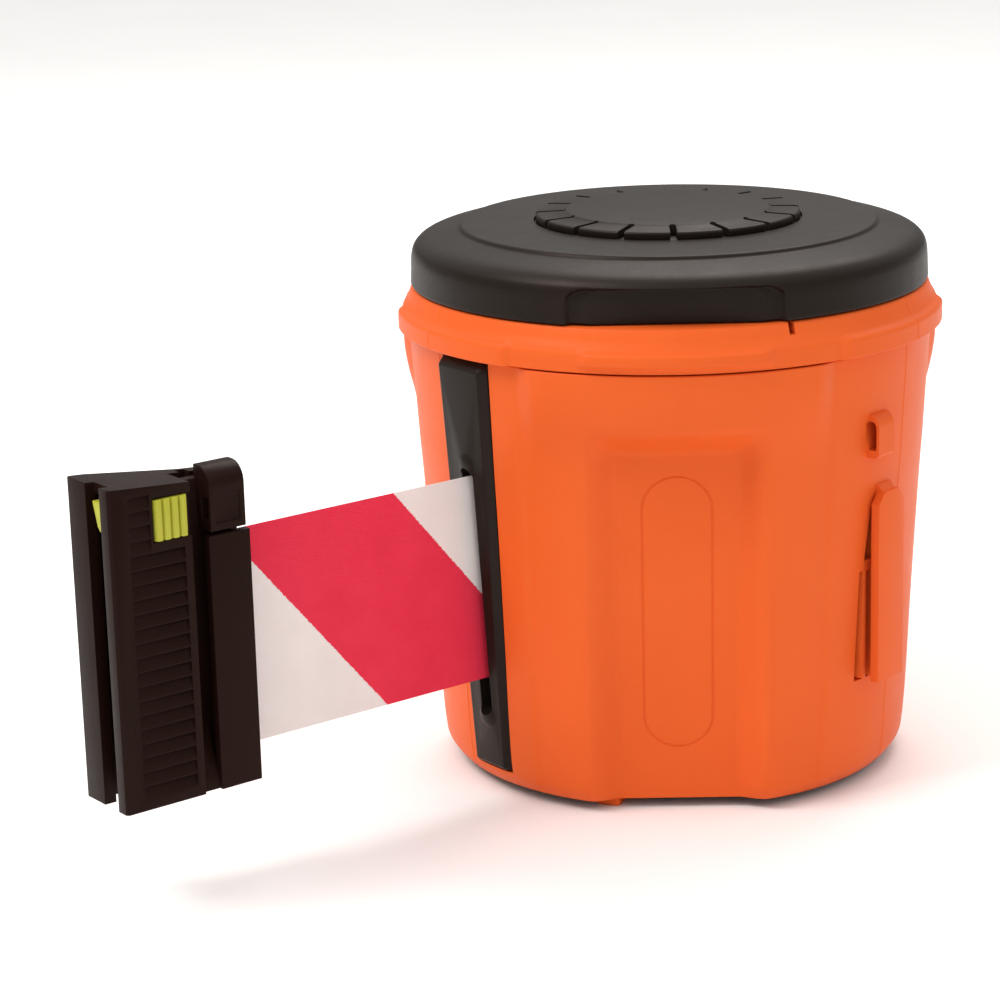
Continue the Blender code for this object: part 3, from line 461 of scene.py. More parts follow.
def zinc_steel(name):
    """Zinc-plated steel with turning marks round the axis."""
    finish, tree, shader, spot = new_material(name, Metallic=1.0)
    link = tree.links.new
    tone = map_range(tree, noise_at(tree, spot, 90.0, 4.0), 0.0, 1.0)
    link(blend_colours(tree, tone, (0.62, 0.62, 0.62), (0.47, 0.47, 0.49)), shader.inputs["Base Color"])
    parts = add_node(tree, "SeparateXYZ", {0: spot})
    lines = add_node(tree, "CombineXYZ", {2: compute(tree, "MULTIPLY", parts.outputs[2], 30.0)})
    wide = add_node(tree, "VectorMath", {0: lines.outputs[0], 1: spot}, operation="ADD").outputs[0]
    marks = noise_at(tree, wide, 300.0, 3.0)
    link(map_range(tree, marks, 0.26, 0.42), shader.inputs["Roughness"])
    link(add_bump(tree, marks, 0.00003, 0.4), shader.inputs["Normal"])
    return finish


def soft_rubber(name):
    """Dull black rubber with a fine, slightly worn skin."""
    finish, tree, shader, spot = new_material(name, Specular_IOR_Level=0.3)
    link = tree.links.new
    tone = map_range(tree, noise_at(tree, spot, 120.0, 4.0), 0.0, 1.0)
    colour = blend_colours(tree, tone, (0.024, 0.024, 0.024), (0.04, 0.039, 0.038))
    link(colour, shader.inputs["Base Color"])
    link(map_range(tree, noise_at(tree, spot, 500.0, 2.0), 0.7, 0.9), shader.inputs["Roughness"])
    link(add_bump(tree, noise_at(tree, spot, 2500.0, 2.0), 0.00005, 0.6), shader.inputs["Normal"])
    return finish


def woven_tape(name):
    """Woven webbing: ribs along the tape, a plain weave across them and printed diagonal stripes."""
    finish, tree, shader, spot = new_material(
        name, Specular_IOR_Level=0.3, Sheen_Weight=0.15, Sheen_Roughness=0.4,
    )
    link = tree.links.new
    parts = add_node(tree, "SeparateXYZ", {0: spot})
    along = compute(tree, "MULTIPLY", parts.outputs[1], -1.0 / MM)
    middle = FOOT + (TAPE_LOW + TAPE_HIGH) * 0.5 * MM
    up = compute(tree, "DIVIDE", compute(tree, "SUBTRACT", parts.outputs[2], middle), MM)
    ragged = map_range(tree, noise_at(tree, spot, 1500.0, 1.0), -0.16, 0.16)
    lean = compute(tree, "SUBTRACT", along, compute(tree, "DIVIDE", up, STRIPE_SLOPE))
    start = STRIPE_START - (TAPE_LOW + TAPE_HIGH - 140.0) * 0.5 / STRIPE_SLOPE
    phase = compute(tree, "DIVIDE", compute(tree, "SUBTRACT", lean, start), 2.0 * STRIPE_WIDTH)
    wave = compute(tree, "SINE", compute(tree, "MULTIPLY", phase, 2.0 * math.pi))
    frayed = compute(tree, "ADD", wave, compute(tree, "MULTIPLY", ragged, 0.06))
    edge = compute(tree, "MULTIPLY", frayed, 60.0)
    red_share = add_node(tree, "Clamp", {"Value": compute(tree, "ADD", edge, 0.5)}).outputs[0]

    rib = compute(tree, "SINE", compute(tree, "MULTIPLY", up, 2.0 * math.pi / WEAVE_PITCH))
    weft = compute(tree, "SINE", compute(tree, "MULTIPLY", along, 2.0 * math.pi / (1.3 * WEAVE_PITCH)))
    thread = compute(tree, "MULTIPLY", rib, weft)
    ribbed = compute(tree, "MULTIPLY", rib, 0.35)
    weave = compute(tree, "ADD", ribbed, compute(tree, "MULTIPLY", thread, 0.5))
    fuzz = noise_at(tree, spot, 2600.0, 2.0)
    height = compute(tree, "ADD", weave, compute(tree, "MULTIPLY", fuzz, 0.5))

    drift = map_range(tree, noise_at(tree, spot, 60.0, 3.0), 0.0, 1.0)
    white = blend_colours(tree, drift, (0.86, 0.785, 0.765), (0.895, 0.83, 0.815))
    red = blend_colours(tree, drift, (0.79, 0.022, 0.062), (0.83, 0.030, 0.075))
    stripes = blend_colours(tree, red_share, white, red)
    # Painted shade: the weave's valleys are darkened in the base colour, multiplied towards 0.6 by up to a
    # tenth.
    painted_valley_shade = map_range(tree, weave, 0.10, 0.0, -0.8, 0.5)
    shaded = blend_colours(tree, painted_valley_shade, stripes, (0.6, 0.6, 0.6), "MULTIPLY")
    link(shaded, shader.inputs["Base Color"])
    link(map_range(tree, fuzz, 0.66, 0.84), shader.inputs["Roughness"])
    link(add_bump(tree, height, 0.00005, 0.6), shader.inputs["Normal"])
    return finish


ORANGE = moulded_plastic(
    "orange_plastic", (0.81, 0.126, 0.022), (0.785, 0.118, 0.020), (0.42, 0.49), 0.00002, 0.15,
)
BLACK = moulded_plastic(
    "black_plastic", (0.0118, 0.0076, 0.0058), (0.0100, 0.0066, 0.0050), (0.38, 0.46), 0.00005, 0.18,
)
BROWN_BLACK = moulded_plastic(
    "fitting_plastic", (0.0150, 0.0056, 0.0040), (0.0130, 0.0050, 0.0036), (0.34, 0.42), 0.00003, 0.08,
)
LIME = moulded_plastic(
    "lime_plastic", (0.46, 0.46, 0.045), (0.44, 0.44, 0.04), (0.38, 0.46), 0.00002, 0.35,
)
ACETAL = moulded_plastic(
    "white_plastic", (0.80, 0.80, 0.77), (0.77, 0.77, 0.74), (0.32, 0.40), 0.00001,
)
STEEL = zinc_steel("zinc_steel")
RUBBER = soft_rubber("soft_rubber")
TAPE = woven_tape("woven_tape")

SLOT_FINISHES = {
    "orange_plastic": ORANGE, "black_plastic": BLACK, "rubber": RUBBER, "steel": STEEL,
    "white_plastic": ACETAL, "lime_plastic": LIME, "tape": TAPE,
}


def finish_cad_nodes():
    """Give every CAD node the finish of its material slot."""
    slots = {part["node"]: part["material_slot"] for part in frame["record"]["subparts"]}
    for name, item in frame["nodes"].items():
        item.data.materials.clear()
        item.data.materials.append(SLOT_FINISHES[slots[name]])


# ---- drum

def panel_offset(angle):
    """Angle from the middle of the nearest of the three flat panels."""
    return (angle - PANEL_ANGLE + 60.0) % 120.0 - 60.0


def station_offset(angle):
    """Angle from the middle of the nearest of the three stations between the panels."""
    return (angle - PANEL_ANGLE - STATION_OFFSET + 60.0) % 120.0 - 60.0


def ridge(angle, radius):
    """Thin raised line that the mould's parting leaves down the middle of each station."""
    sideways = math.radians(station_offset(angle)) * radius
    return RIDGE_RAISE * math.exp(-((sideways / RIDGE_HALF_WIDTH) ** 2))


def drum_outline(angle, height, inset=0.0):
    """Distance from the axis to the drum's surface.

    The drum is round and flares at its top; it is flat in its three panels, and the three stations
    between them keep a straight side up to the collar.
    """
    radius = curve_value(DRUM_RADII, height)
    away = abs(station_offset(angle))
    edge = smooth_step(STATION_HALF_ANGLE - 0.7, STATION_HALF_ANGLE + 0.7, away)
    fade = smooth_step(0.0, FILLET_TOP, height)
    full = radius + STATION_RAISE * (1.0 - edge) * fade - inset
    if height > STATION_RISE_LOW:
        straight = curve_value(DRUM_RADII, STATION_RISE_LOW) + STATION_LEAN * (height - STATION_RISE_LOW)
        near = 1.0 - smooth_step(STATION_HALF_ANGLE - 1.5, STATION_HALF_ANGLE + 6.0, away)
        full += (straight - radius) * near
    turn = math.radians(panel_offset(angle))
    sideways = abs(radius * math.sin(turn))
    flat = (PANEL_FOOT + PANEL_SLOPE * height - inset) / math.cos(turn)
    share = 1.0 - smooth_step(PANEL_FLAT_HALF, PANEL_WALL_HALF, sideways)
    share *= 1.0 - smooth_step(PANEL_FADE_LOW, PANEL_FADE_HIGH, height)
    recess = full + (soft_min(flat, full, PANEL_SOFTNESS) - full) * share
    return recess + (ridge(angle, radius) * fade if inset == 0.0 else 0.0)


def fine_angles(step=0.75):
    """Even steps round the axis, with close ones at the parting ridges."""
    angles = set(round(index * step, 4) for index in range(int(360 / step)))
    for sector in range(3):
        middle = (PANEL_ANGLE + STATION_OFFSET + 120.0 * sector) % 360.0
        angles = {angle for angle in angles if abs(angle - middle) > 0.6}
        angles |= {round(middle + shift, 4) for shift in spread(-0.5, 0.5, 10)}
    return sorted(angles)


def build_drum():
    """Thin-walled drum with the window for its bezel, its receivers' openings and screw bosses."""
    outer = [0.0, 0.3, 0.8, 1.5, 2.2, 3.0, 4.0] + spread(5.0, 110.0, 21)
    outer += spread(112.0, 134.0, 22) + spread(136.0, 146.4, 5) + [DRUM_TOP - 0.3, DRUM_TOP]
    inner = [DRUM_TOP, 141.0, 131.0, 124.0, 117.5, 60.0, BOSS_LOW - 0.9]

    def loop(angle):
        section = [(drum_outline(angle, height), height) for height in outer[:-1]]
        section.append((drum_outline(angle, DRUM_TOP) - 0.3, DRUM_TOP))
        section += [(drum_outline(angle, height, WALL), height) for height in inner]
        section.append((drum_outline(angle, 0.0, WALL - 1.0), 0.0))
        return section

    mesh = lofted_mesh("drum", fine_angles(), loop, 40.0)
    drum = make_piece("drum", mesh, ORANGE, "housing", ["body_shell"])
    window = []
    for height in (BEZEL_LOW - 0.6, DRUM_TOP + 1.0):
        half = bezel_half(height) + 0.4
        corners = ((-half, -60.0), (half, -60.0), (half, OUTSIDE), (-half, OUTSIDE))
        window.append([(x, y, height) for x, y in corners])
    combine(drum, [swept_mesh("window", window)])
    for angle in RECEIVER_ANGLES.values():
        combine(drum, [eye_body(angle)], "UNION")
        combine(drum, [eye_hollow(angle), rail_window(angle)])
    for sector in range(3):
        angle = BOSS_ANGLE + 120.0 * sector
        x, y, _ = polar(angle, BOSS_REACH, 0.0)
        profile = [(0.0, BOSS_LOW), (BOSS_RADIUS, BOSS_LOW), (BOSS_RADIUS, BOSS_HIGH), (0.0, BOSS_HIGH)]
        boss = turned_mesh("boss", profile, 32, centre=(x, y))
        low, high = (-1.5, -BOSS_REACH - 10.5, BOSS_LOW + 0.3), (1.5, -BOSS_REACH, BOSS_HIGH - 0.7)
        combine(drum, [boss, box_mesh("boss_rib", low, high, angle)], "UNION")
        start, end = BOSS_LOW - 1.0, BOSS_HIGH - 2.0
        hole = [(0.0, start), (2.0, start), (2.0, end), (0.0, end)]
        combine(drum, [turned_mesh("boss_hole", hole, 24, centre=(x, y))])
    combine(drum, [pill_groove()])


def eye_body(angle):
    """Arched lug above a receiver."""
    back, front, low, high, radius = -82.5, -89.6, 112.5, 127.0, 4.6
    side = [(back, low), (front + 1.0, low), (front, low + 1.0)]
    side += [(y, z) for y, z in arc((front + radius, high - radius), radius, 180.0, 90.0, 10)]
    side.append((back, high))
    return side_prism("eye_body", side, -9.8, -0.8, angle)


def eye_hollow(angle):
    """Arched hollow through the lug's left side."""
    front, back, low, high = -88.6, -85.9, 115.0, 124.6
    side = [(back, low), (front, low)] + arc((front + 2.1, high - 2.1), 2.1, 180.0, 0.0, 8)
    return side_prism("eye_hollow", side, -11.0, -2.6, angle)


def rail_window(angle):
    """Opening behind a rail: a long slot below, and a narrower one above with a slanted side."""
    low, shelf, high = RECEIVER_LOW - 0.4, SHELF_LOW + 0.6, RECEIVER_HIGH - 2.5
    outline = [
        (-9.9, low), (9.5, low), (9.5, high), (-4.6, high), (-6.0, high - 3.0),
        (-7.9, shelf + 4.0), (-7.9, shelf), (-9.9, shelf),
    ]
    return front_prism("rail_window", outline, OUTSIDE, -60.0, angle)


def panel_point(sideways, height, proud=0.0):
    """A point on the flat of the front panel."""
    turn = math.radians(PANEL_ANGLE)
    out = PANEL_FOOT + PANEL_SLOPE * height + proud
    return (
        out * math.sin(turn) + sideways * math.cos(turn),
        -out * math.cos(turn) + sideways * math.sin(turn),
        height,
    )


def pill_groove():
    """Round wire along a pill outline, for the groove that it leaves in the panel."""
    radius = PILL_HALF_WIDTH
    path = arc((0.0, PILL_HIGH - radius), radius, 0.0, 180.0, 28)
    path += arc((0.0, PILL_LOW + radius), radius, 180.0, 360.0, 28)
    sections = []
    for index, (sideways, height) in enumerate(path):
        before, after = Vector(path[index - 1]), Vector(path[(index + 1) % len(path)])
        along = (after - before).normalized()
        across = Vector((along.y, -along.x))
        ring = []
        for reach, proud in arc((0.0, PILL_GROOVE * 0.2), PILL_GROOVE, 0.0, 315.0, 7):
            ring.append(panel_point(sideways + across.x * reach, height + across.y * reach, proud))
        sections.append(ring)
    return swept_mesh("pill_groove", sections, ring=True)


def build_feet():
    for index in range(3):
        turn = PANEL_ANGLE - 20.0 + 120.0 * index
        mesh = box_mesh(f"drum_foot_{index + 1}", (-4.0, -69.0, -3.5), (4.0, -61.5, 0.7), turn)
        foot = make_piece(mesh.name, mesh, ORANGE, "housing", [f"foot_{index + 1}"])
        round_edges(foot, 0.8)


# ---- collar, lid and dial

def collar_radius(angle, height):
    """The collar is round, with a low pad over each panel and a wider one over each station."""
    radius = curve_value(COLLAR_RADII, height)
    panel = 1.0 - smooth_step(17.6, 20.6, abs(panel_offset(angle)))
    panel *= smooth_step(148.6, 150.6, height) * (1.0 - smooth_step(153.4, 155.6, height))
    station = 1.0 - smooth_step(23.2, 24.8, abs(station_offset(angle)))
    station *= 1.0 - smooth_step(154.2, 155.8, height)
    return radius + max(1.7 * panel, 1.5 * station) + ridge(angle, radius)


def build_collar():
    heights = [COLLAR_LOW, COLLAR_LOW + 0.3] + spread(148.4, 161.0, 36)

    def loop(angle):
        section = [(collar_radius(angle, height), height) for height in heights]
        section[0] = (section[0][0] - 0.3, COLLAR_LOW)
        section += [
            (collar_radius(angle, COLLAR_TOP) - 0.4, COLLAR_TOP), (73.0, COLLAR_TOP),
            (73.0, 159.0), (84.0, 158.4), (86.4, 150.4), (70.0, 150.4), (70.0, COLLAR_LOW),
        ]
        return section

    mesh = lofted_mesh("top_collar", fine_angles(), loop, 40.0)
    collar = make_piece("top_collar", mesh, ORANGE, "housing", ["collar"])
    notch_angle = PANEL_ANGLE + PRY_NOTCH_OFFSET
    combine(collar, [box_mesh("pry_notch", (-1.0, OUTSIDE, 157.6), (1.0, -80.0, 163.0), notch_angle)])
    bore = [(0.0, 146.0), (2.0, 146.0), (2.0, 151.5), (0.0, 151.5)]
    for sector in range(3):
        x, y, _ = polar(PANEL_ANGLE + 120.0 * sector, 76.0, 0.0)
        combine(collar, [turned_mesh("ledge_bore", bore, 24, centre=(x, y))])


def lid_radius(angle, radius, height, inset=0.0):
    """The lid's rim is round, with a flat finger recess over each panel."""
    away = abs(panel_offset(angle))
    flat = (SCALLOP_DISTANCE - inset) / math.cos(math.radians(away))
    flat = min(flat, radius - SCALLOP_SIDE)
    drop = SCALLOP_CORNER * (1.0 - math.sqrt(1.0 - min(1.0, max(0.0, (away - 18.5) / 5.0)) ** 2))
    share = 1.0 - smooth_step(SCALLOP_LOW - drop, SCALLOP_HIGH - drop, height)
    share *= 1.0 - smooth_step(SCALLOP_HALF_ANGLE - 0.7, SCALLOP_HALF_ANGLE + 0.7, away)
    return radius + (flat - radius) * share


def build_lid():
    shoulder = [
        (86.7, LID_EDGE + 0.5), (86.55, 166.0), (86.4, 170.0), (86.1, 172.4), (85.3, 174.5),
        (83.4, 176.4), (80.5, 177.7), (75.5, 178.9), (70.9, 179.85),
    ]
    step_up = [(70.4, 180.0), (70.0, 180.35), (69.7, 180.8), (69.2, 181.15), (68.4, 181.25)]
    well = DIAL_RADIUS + 0.5
    top = [(60.0, 181.5), (50.0, 181.75), (well + 0.8, 181.85), (well + 0.2, 181.75), (well, 181.5)]
    outer = [(86.4, LID_EDGE)] + smooth_run(shoulder, 8) + smooth_run(step_up, 3) + top
    outer += [(well, 180.7), (10.4, 180.7)]
    inner = [(10.4, 178.4), (69.0, 177.9), (81.0, 174.6), (83.7, 171.0), (84.2, LID_EDGE)]

    def loop(angle):
        section = [(lid_radius(angle, radius, height), height) for radius, height in outer]
        section += [(lid_radius(angle, radius, height, LID_WALL), height) for radius, height in inner]
        return section

    angles = set(spread(0.0, 359.25, 479))
    for sector in range(3):
        for side in (-1.0, 1.0):
            edge = (PANEL_ANGLE + 120.0 * sector + side * SCALLOP_HALF_ANGLE) % 360.0
            angles = {angle for angle in angles if abs(angle - edge) > 1.0}
            angles |= {round(edge + shift, 4) for shift in spread(-0.8, 0.8, 8)}
    mesh = lofted_mesh("lid_cover", sorted(angles), loop, 40.0)
    make_piece("lid_cover", mesh, BLACK, "lid", ["lid"])


def build_dial():
    """Shallow knob with a plain middle and a ring of notched grips, on a hollow spindle."""
    edge = [
        (DIAL_RADIUS - 1.2, 184.3), (DIAL_RADIUS - 0.4, 184.05), (DIAL_RADIUS - 0.05, 183.5),
        (DIAL_RADIUS, 182.8),
    ]
    profile = [(0.0, DIAL_TOP), (33.9, DIAL_TOP), (34.3, DIAL_TOP - 0.1), (34.7, 184.55)]
    profile += smooth_run(edge, 4)
    profile += [(DIAL_RADIUS, 181.1), (9.9, 181.1), (9.9, 167.2), (1.9, 167.2), (1.9, 177.0), (0.0, 177.0)]
    mesh = turned_mesh("dial_knob", profile, 240, 30.0)
    dial = make_piece("dial_knob", mesh, BLACK, "dial", ["lock_dial"])
    notches = []
    for index in range(DIAL_NOTCHES):
        turn = PANEL_ANGLE + 1.0 + 360.0 * index / DIAL_NOTCHES
        outline = [(-1.1, -47.0), (1.1, -47.0)] + arc((0.0, -35.0), 1.1, 0.0, 180.0, 8)
        notches.append(plan_prism(f"dial_notch_{index}", outline, 181.5, 186.0, 0.0, turn))
    combine(dial, notches)
    round_edges(dial, 0.25, 2, 50.0)


# ---- slot bezel

def bezel_face(height):
    return BEZEL_FACE_LOW + BEZEL_LEAN * (height - BEZEL_LOW)


def bezel_half(height):
    """Half width of the bezel, which is narrower at its foot."""
    return BEZEL_HALF_HIGH - BEZEL_SPREAD * (BEZEL_HIGH - height)


def build_bezel():
    """Slotted bar over the drum's window: a wide bevel on its right, a soft lip at each slot end."""
    sections = []
    ends = ((BEZEL_LOW, 0.9), (BEZEL_LOW + 0.9, 0.0), (BEZEL_HIGH - 2.6, 0.0), (BEZEL_HIGH, 2.4))
    for height, back in ends:
        half, outer = bezel_half(height), back - bezel_face(height)
        inner = BEZEL_THICKNESS - bezel_face(height)
        outline = [
            (-half, inner), (-half, outer + BEZEL_BEVEL), (BEZEL_BEVEL - half, outer),
            (half - BEZEL_CHAMFER, outer), (half, outer + BEZEL_CHAMFER), (half, inner),
        ]
        sections.append([(x, y, height) for x, y in outline])
    bezel = make_piece(
        "tape_bezel", swept_mesh("tape_bezel", sections), BLACK, "housing", ["slot_bezel"],
    )
    lugs = []
    for low in (14.0, 119.4):
        lugs.append(box_mesh("pin_lug", (-7.0, 3.0 - bezel_face(low), low), (7.0, -68.0, low + 6.0)))
    combine(bezel, lugs, "UNION", "EXACT")
    half = SLOT_HALF_WIDTH
    slot = arc((0.0, SLOT_HIGH - half), half, 0.0, 180.0, 10)
    slot += arc((0.0, SLOT_LOW + half), half, 180.0, 360.0, 10)
    round_edges(bezel, 0.7, 3, 30.0)
    for height in (SLOT_LOW - 0.4, SLOT_HIGH + 0.4):
        rings = []
        for radius, proud in SLOT_BUMP:
            ring = arc((0.0, height), radius, 0.0, 345.0, 23)
            rings.append([(x, -bezel_face(z) - proud, z) for x, z in ring])
        combine(bezel, [swept_mesh("slot_bump", rings)], "UNION", "EXACT")
    combine(bezel, [front_prism("tape_slot", slot, OUTSIDE, -70.0)], "DIFFERENCE", "EXACT")


def build_guide_pins():
    for label, side in (("left", -1.0), ("right", 1.0)):
        profile = [
            (0.0, 16.2), (1.3, 16.2), (1.3, 21.0), (PIN_RADIUS, 21.0), (PIN_RADIUS, 118.6),
            (1.3, 118.6), (1.3, 123.4), (0.0, 123.4),
        ]
        mesh = turned_mesh(f"roller_{label}", profile, 40, centre=(side * PIN_X, PIN_Y))
        make_piece(mesh.name, mesh, STEEL, "housing", [f"guide_pin_{label}"])


# ---- receivers

def build_receiver(label, angle):
    """T-rail on a leaning plate inside the drum, with a slanted cap and a narrow track at its left."""
    back = curve_value(DRUM_RADII, RECEIVER_LOW) + STATION_RAISE - WALL - 3.6
    plate = plan_prism(
        f"rail_{label}", [(-13.5, -back), (13.5, -back), (13.5, 2.4 - back), (-13.5, 2.4 - back)],
        RECEIVER_LOW - 6.0, RECEIVER_HIGH + 6.0, 0.048, angle,
    )
    rail = make_piece(plate.name, plate, ORANGE, "housing", [f"receiver_{label}"])
    for left, right, low, high in PLATE_SLOTS:
        combine(rail, [box_mesh("plate_slot", (left, OUTSIDE, low), (right, -60.0, high), angle)])
    front, inner = -RECEIVER_FACE, 1.0 - back
    stem = box_mesh("stem", (-2.5, 0.5 + front, RECEIVER_LOW), (2.5, inner, RECEIVER_HIGH), angle)
    half, cut, shoulder = RAIL_HALF_WIDTH, RAIL_CORNER, RECEIVER_HIGH - RAIL_CORNER
    head = [
        (-half, RECEIVER_LOW), (half, RECEIVER_LOW), (half, shoulder), (half - cut, RECEIVER_HIGH),
        (cut - half, RECEIVER_HIGH), (-half, shoulder),
    ]
    head = front_prism("head", head, front, RAIL_HEAD + front, angle)
    track = box_mesh("track", (-7.8, -82.8, RECEIVER_LOW + 0.5), (-6.1, inner, SHELF_LOW), angle)
    shelf = box_mesh("shelf", (-7.8, -82.8, SHELF_LOW), (-1.0, inner, SHELF_LOW + 3.8), angle)
    wall = -81.0
    cap = [
        (wall, RECEIVER_HIGH - 5.0), (front + 0.4, RECEIVER_HIGH - 5.0), (front + 0.4, RECEIVER_HIGH - 0.8),
        (front + 2.6, RECEIVER_HIGH + 1.8), (wall, RECEIVER_HIGH + 3.2),
    ]
    cap = side_prism("cap", cap, cut + 0.2 - half, half - cut - 0.2, angle)
    combine(rail, [stem, head, track, shelf, cap], "UNION", "EXACT")
    round_edges(rail, 0.45, 3, 40.0)


# ---- tape

def tape_path():
    """Centre line of the tape from the roll, round the left guide pin and straight to the clamp."""
    pin = Vector((-PIN_X, PIN_Y))
    roll_reach = ROLL_RADIUS + 0.65
    heading = math.atan2(pin.y, pin.x) + math.asin((roll_reach + PIN_X) / pin.length)
    left = Vector((-math.sin(heading), math.cos(heading)))
    start = -left * roll_reach
    turn_start = math.atan2(left.y, left.x)
    bend = [pin + Vector((math.cos(turn), math.sin(turn))) * PIN_X for turn in spread(turn_start, 0.0, 8)]
    path = [start.lerp(bend[0], share) for share in spread(0.0, 1.0, 6)[:-1]] + bend
    return path + [Vector((0.0, y)) for y in spread(PIN_Y - 2.5, END_FACE + CLAMP_REACH, 90)]


def build_tape():
    """The tape as one thin body whose edges taper; returned with its length along the path."""
    path = tape_path()
    rows = spread(TAPE_LOW, TAPE_HIGH, 24)
    sections = []
    for index, spot in enumerate(path):
        along = path[min(index + 1, len(path) - 1)] - path[max(index - 1, 0)]
        across = Vector((-along.y, along.x)).normalized()
        section = []
        for side, heights in ((1.0, rows), (-1.0, rows[::-1])):
            for height in heights:
                edge = min(height - TAPE_LOW, TAPE_HIGH - height)
                thick = TAPE_HALF_THICKNESS * (0.55 + 0.45 * smooth_step(0.0, 0.8, edge))
                place = spot + across * side * thick
                section.append((place.x, place.y, height))
        sections.append(section)
    mesh = swept_mesh("barrier_tape", sections, 60.0)
    tape = make_piece("barrier_tape", mesh, TAPE, None, ["tape_strip"])
    return tape, sum((after - before).length for before, after in zip(path, path[1:])) * MM


def build_roll():
    """Wound tape: a ring whose ends show the fine steps of its layers."""
    low, high = TAPE_LOW, TAPE_HIGH
    radii = spread(ROLL_INNER, ROLL_RADIUS, 2 * ROLL_LAYERS)
    top = [(radius, high - (0.25 if index % 2 else 0.0)) for index, radius in enumerate(radii)]
    bottom = [(radius, low + (0.25 if index % 2 else 0.0)) for index, radius in enumerate(radii)]
    mesh = turned_mesh("wound_tape", bottom + top[::-1], 128, 20.0)
    make_piece("wound_tape", mesh, TAPE, "reel", ["tape_roll"])


# ---- end fitting

def depth(value):
    """A place on Y from its distance behind the end face."""
    return END_FACE + value


def rib_cutters(side):
    """Shallow saw-toothed scoops across a grip face, deepest at their inner ends."""
    cutters = []
    for index in range(RIB_COUNT):
        top = END_HIGH - 3.6 - RIB_PITCH * index
        beside_pad = side > 0.0 and END_HIGH - 18.0 < top
        length = RIB_SHORT if beside_pad else RIB_LENGTH
        sections = []
        for reach, cut in ((0.0, 0.5), (0.80, 2.1), (0.92, 2.4), (0.98, 1.8), (1.0, 0.5)):
            y = depth(RIB_START + length * reach)
            cut = 0.5 + (cut - 0.5) * length / RIB_LENGTH
            face, out, bottom = side * END_HALF, side * (END_HALF + 0.5), top - RIB_HEIGHT
            ring = [(out, top), (face - side * cut, top - 0.15 * cut), (face, bottom), (out, bottom)]
            sections.append([(x, y, z) for x, z in ring])
        cutters.append(swept_mesh(f"rib_{index}", sections))
    return cutters


def build_end_block():
    """Grip block: a T-channel behind the end face, ribbed sides and a tapering clamp."""
    chamfer = 0.8
    outline = [
        (END_HALF - chamfer, depth(0.0)), (END_HALF, depth(chamfer)), (END_HALF, depth(GRIP_DEPTH)),
        (-0.6, depth(GRIP_DEPTH)), (-0.6, depth(32.3)), (-3.7, depth(32.3)), (-3.7, depth(35.7)),
        (-0.6, depth(35.7)), (-0.6, depth(END_DEPTH)), (-CLAMP_HALF + chamfer, depth(END_DEPTH)),
        (-CLAMP_HALF, depth(END_DEPTH - chamfer)), (-CLAMP_HALF, depth(CLAMP_START)),
        (-END_HALF, depth(6.0)), (-END_HALF, depth(chamfer)),
        (-END_HALF + chamfer, depth(0.0)), (-1.0, depth(0.0)), (-1.0, depth(4.0)),
        (-6.5, depth(4.0)), (-6.5, depth(11.0)), (9.0, depth(11.0)), (9.0, depth(4.0)),
        (7.0, depth(4.0)), (7.0, depth(0.0)),
    ]
    mesh = plan_prism("grip_block", outline, END_LOW, END_HIGH)
    block = make_piece("grip_block", mesh, BROWN_BLACK, "tape_end", ["end_block"])
    start, end = 0.5, END_DEPTH + 5.0
    top = [
        (depth(start), END_HIGH), (depth(start), END_HIGH + 8.0), (depth(end), END_HIGH + 8.0),
        (depth(end), END_HIGH - TOP_FALL * (end - start)),
    ]
    hollows = [
        side_prism("block_top", top, -15.0, 15.0),
        box_mesh("latch_pocket", (1.4, depth(10.0), END_HIGH - 13.2), (6.6, depth(26.0), END_HIGH - 6.7)),
        box_mesh("thumb_way", (5.0, depth(17.4), END_HIGH - 14.0), (13.0, depth(26.3), END_HIGH - 6.0)),
        box_mesh("thumb_seat", (10.6, depth(14.8), END_HIGH - 18.6), (13.0, depth(30.0), END_HIGH - 5.2)),
    ]
    seat = CLAMP_SCREW_SEAT + 0.3
    for height in (END_LOW + 4.5, END_HIGH - 10.5):
        for radius, start, end in ((3.0, -13.0, seat), (1.5, seat - 0.2, 3.9)):
            ring = arc((depth(42.0), height), radius, 0.0, 345.0, 23)
            hollows.append(side_prism("clamp_bore", ring, start, end))
    roof = box_mesh("channel_roof", (-7.5, depth(3.2), END_HIGH - 3.6), (10.0, depth(12.0), END_HIGH))
    combine(block, [roof], "UNION", "EXACT")
    combine(block, hollows, "DIFFERENCE", "EXACT")
    round_edges(block, 0.5, 3, 40.0)
    combine(block, rib_cutters(1.0) + rib_cutters(-1.0))


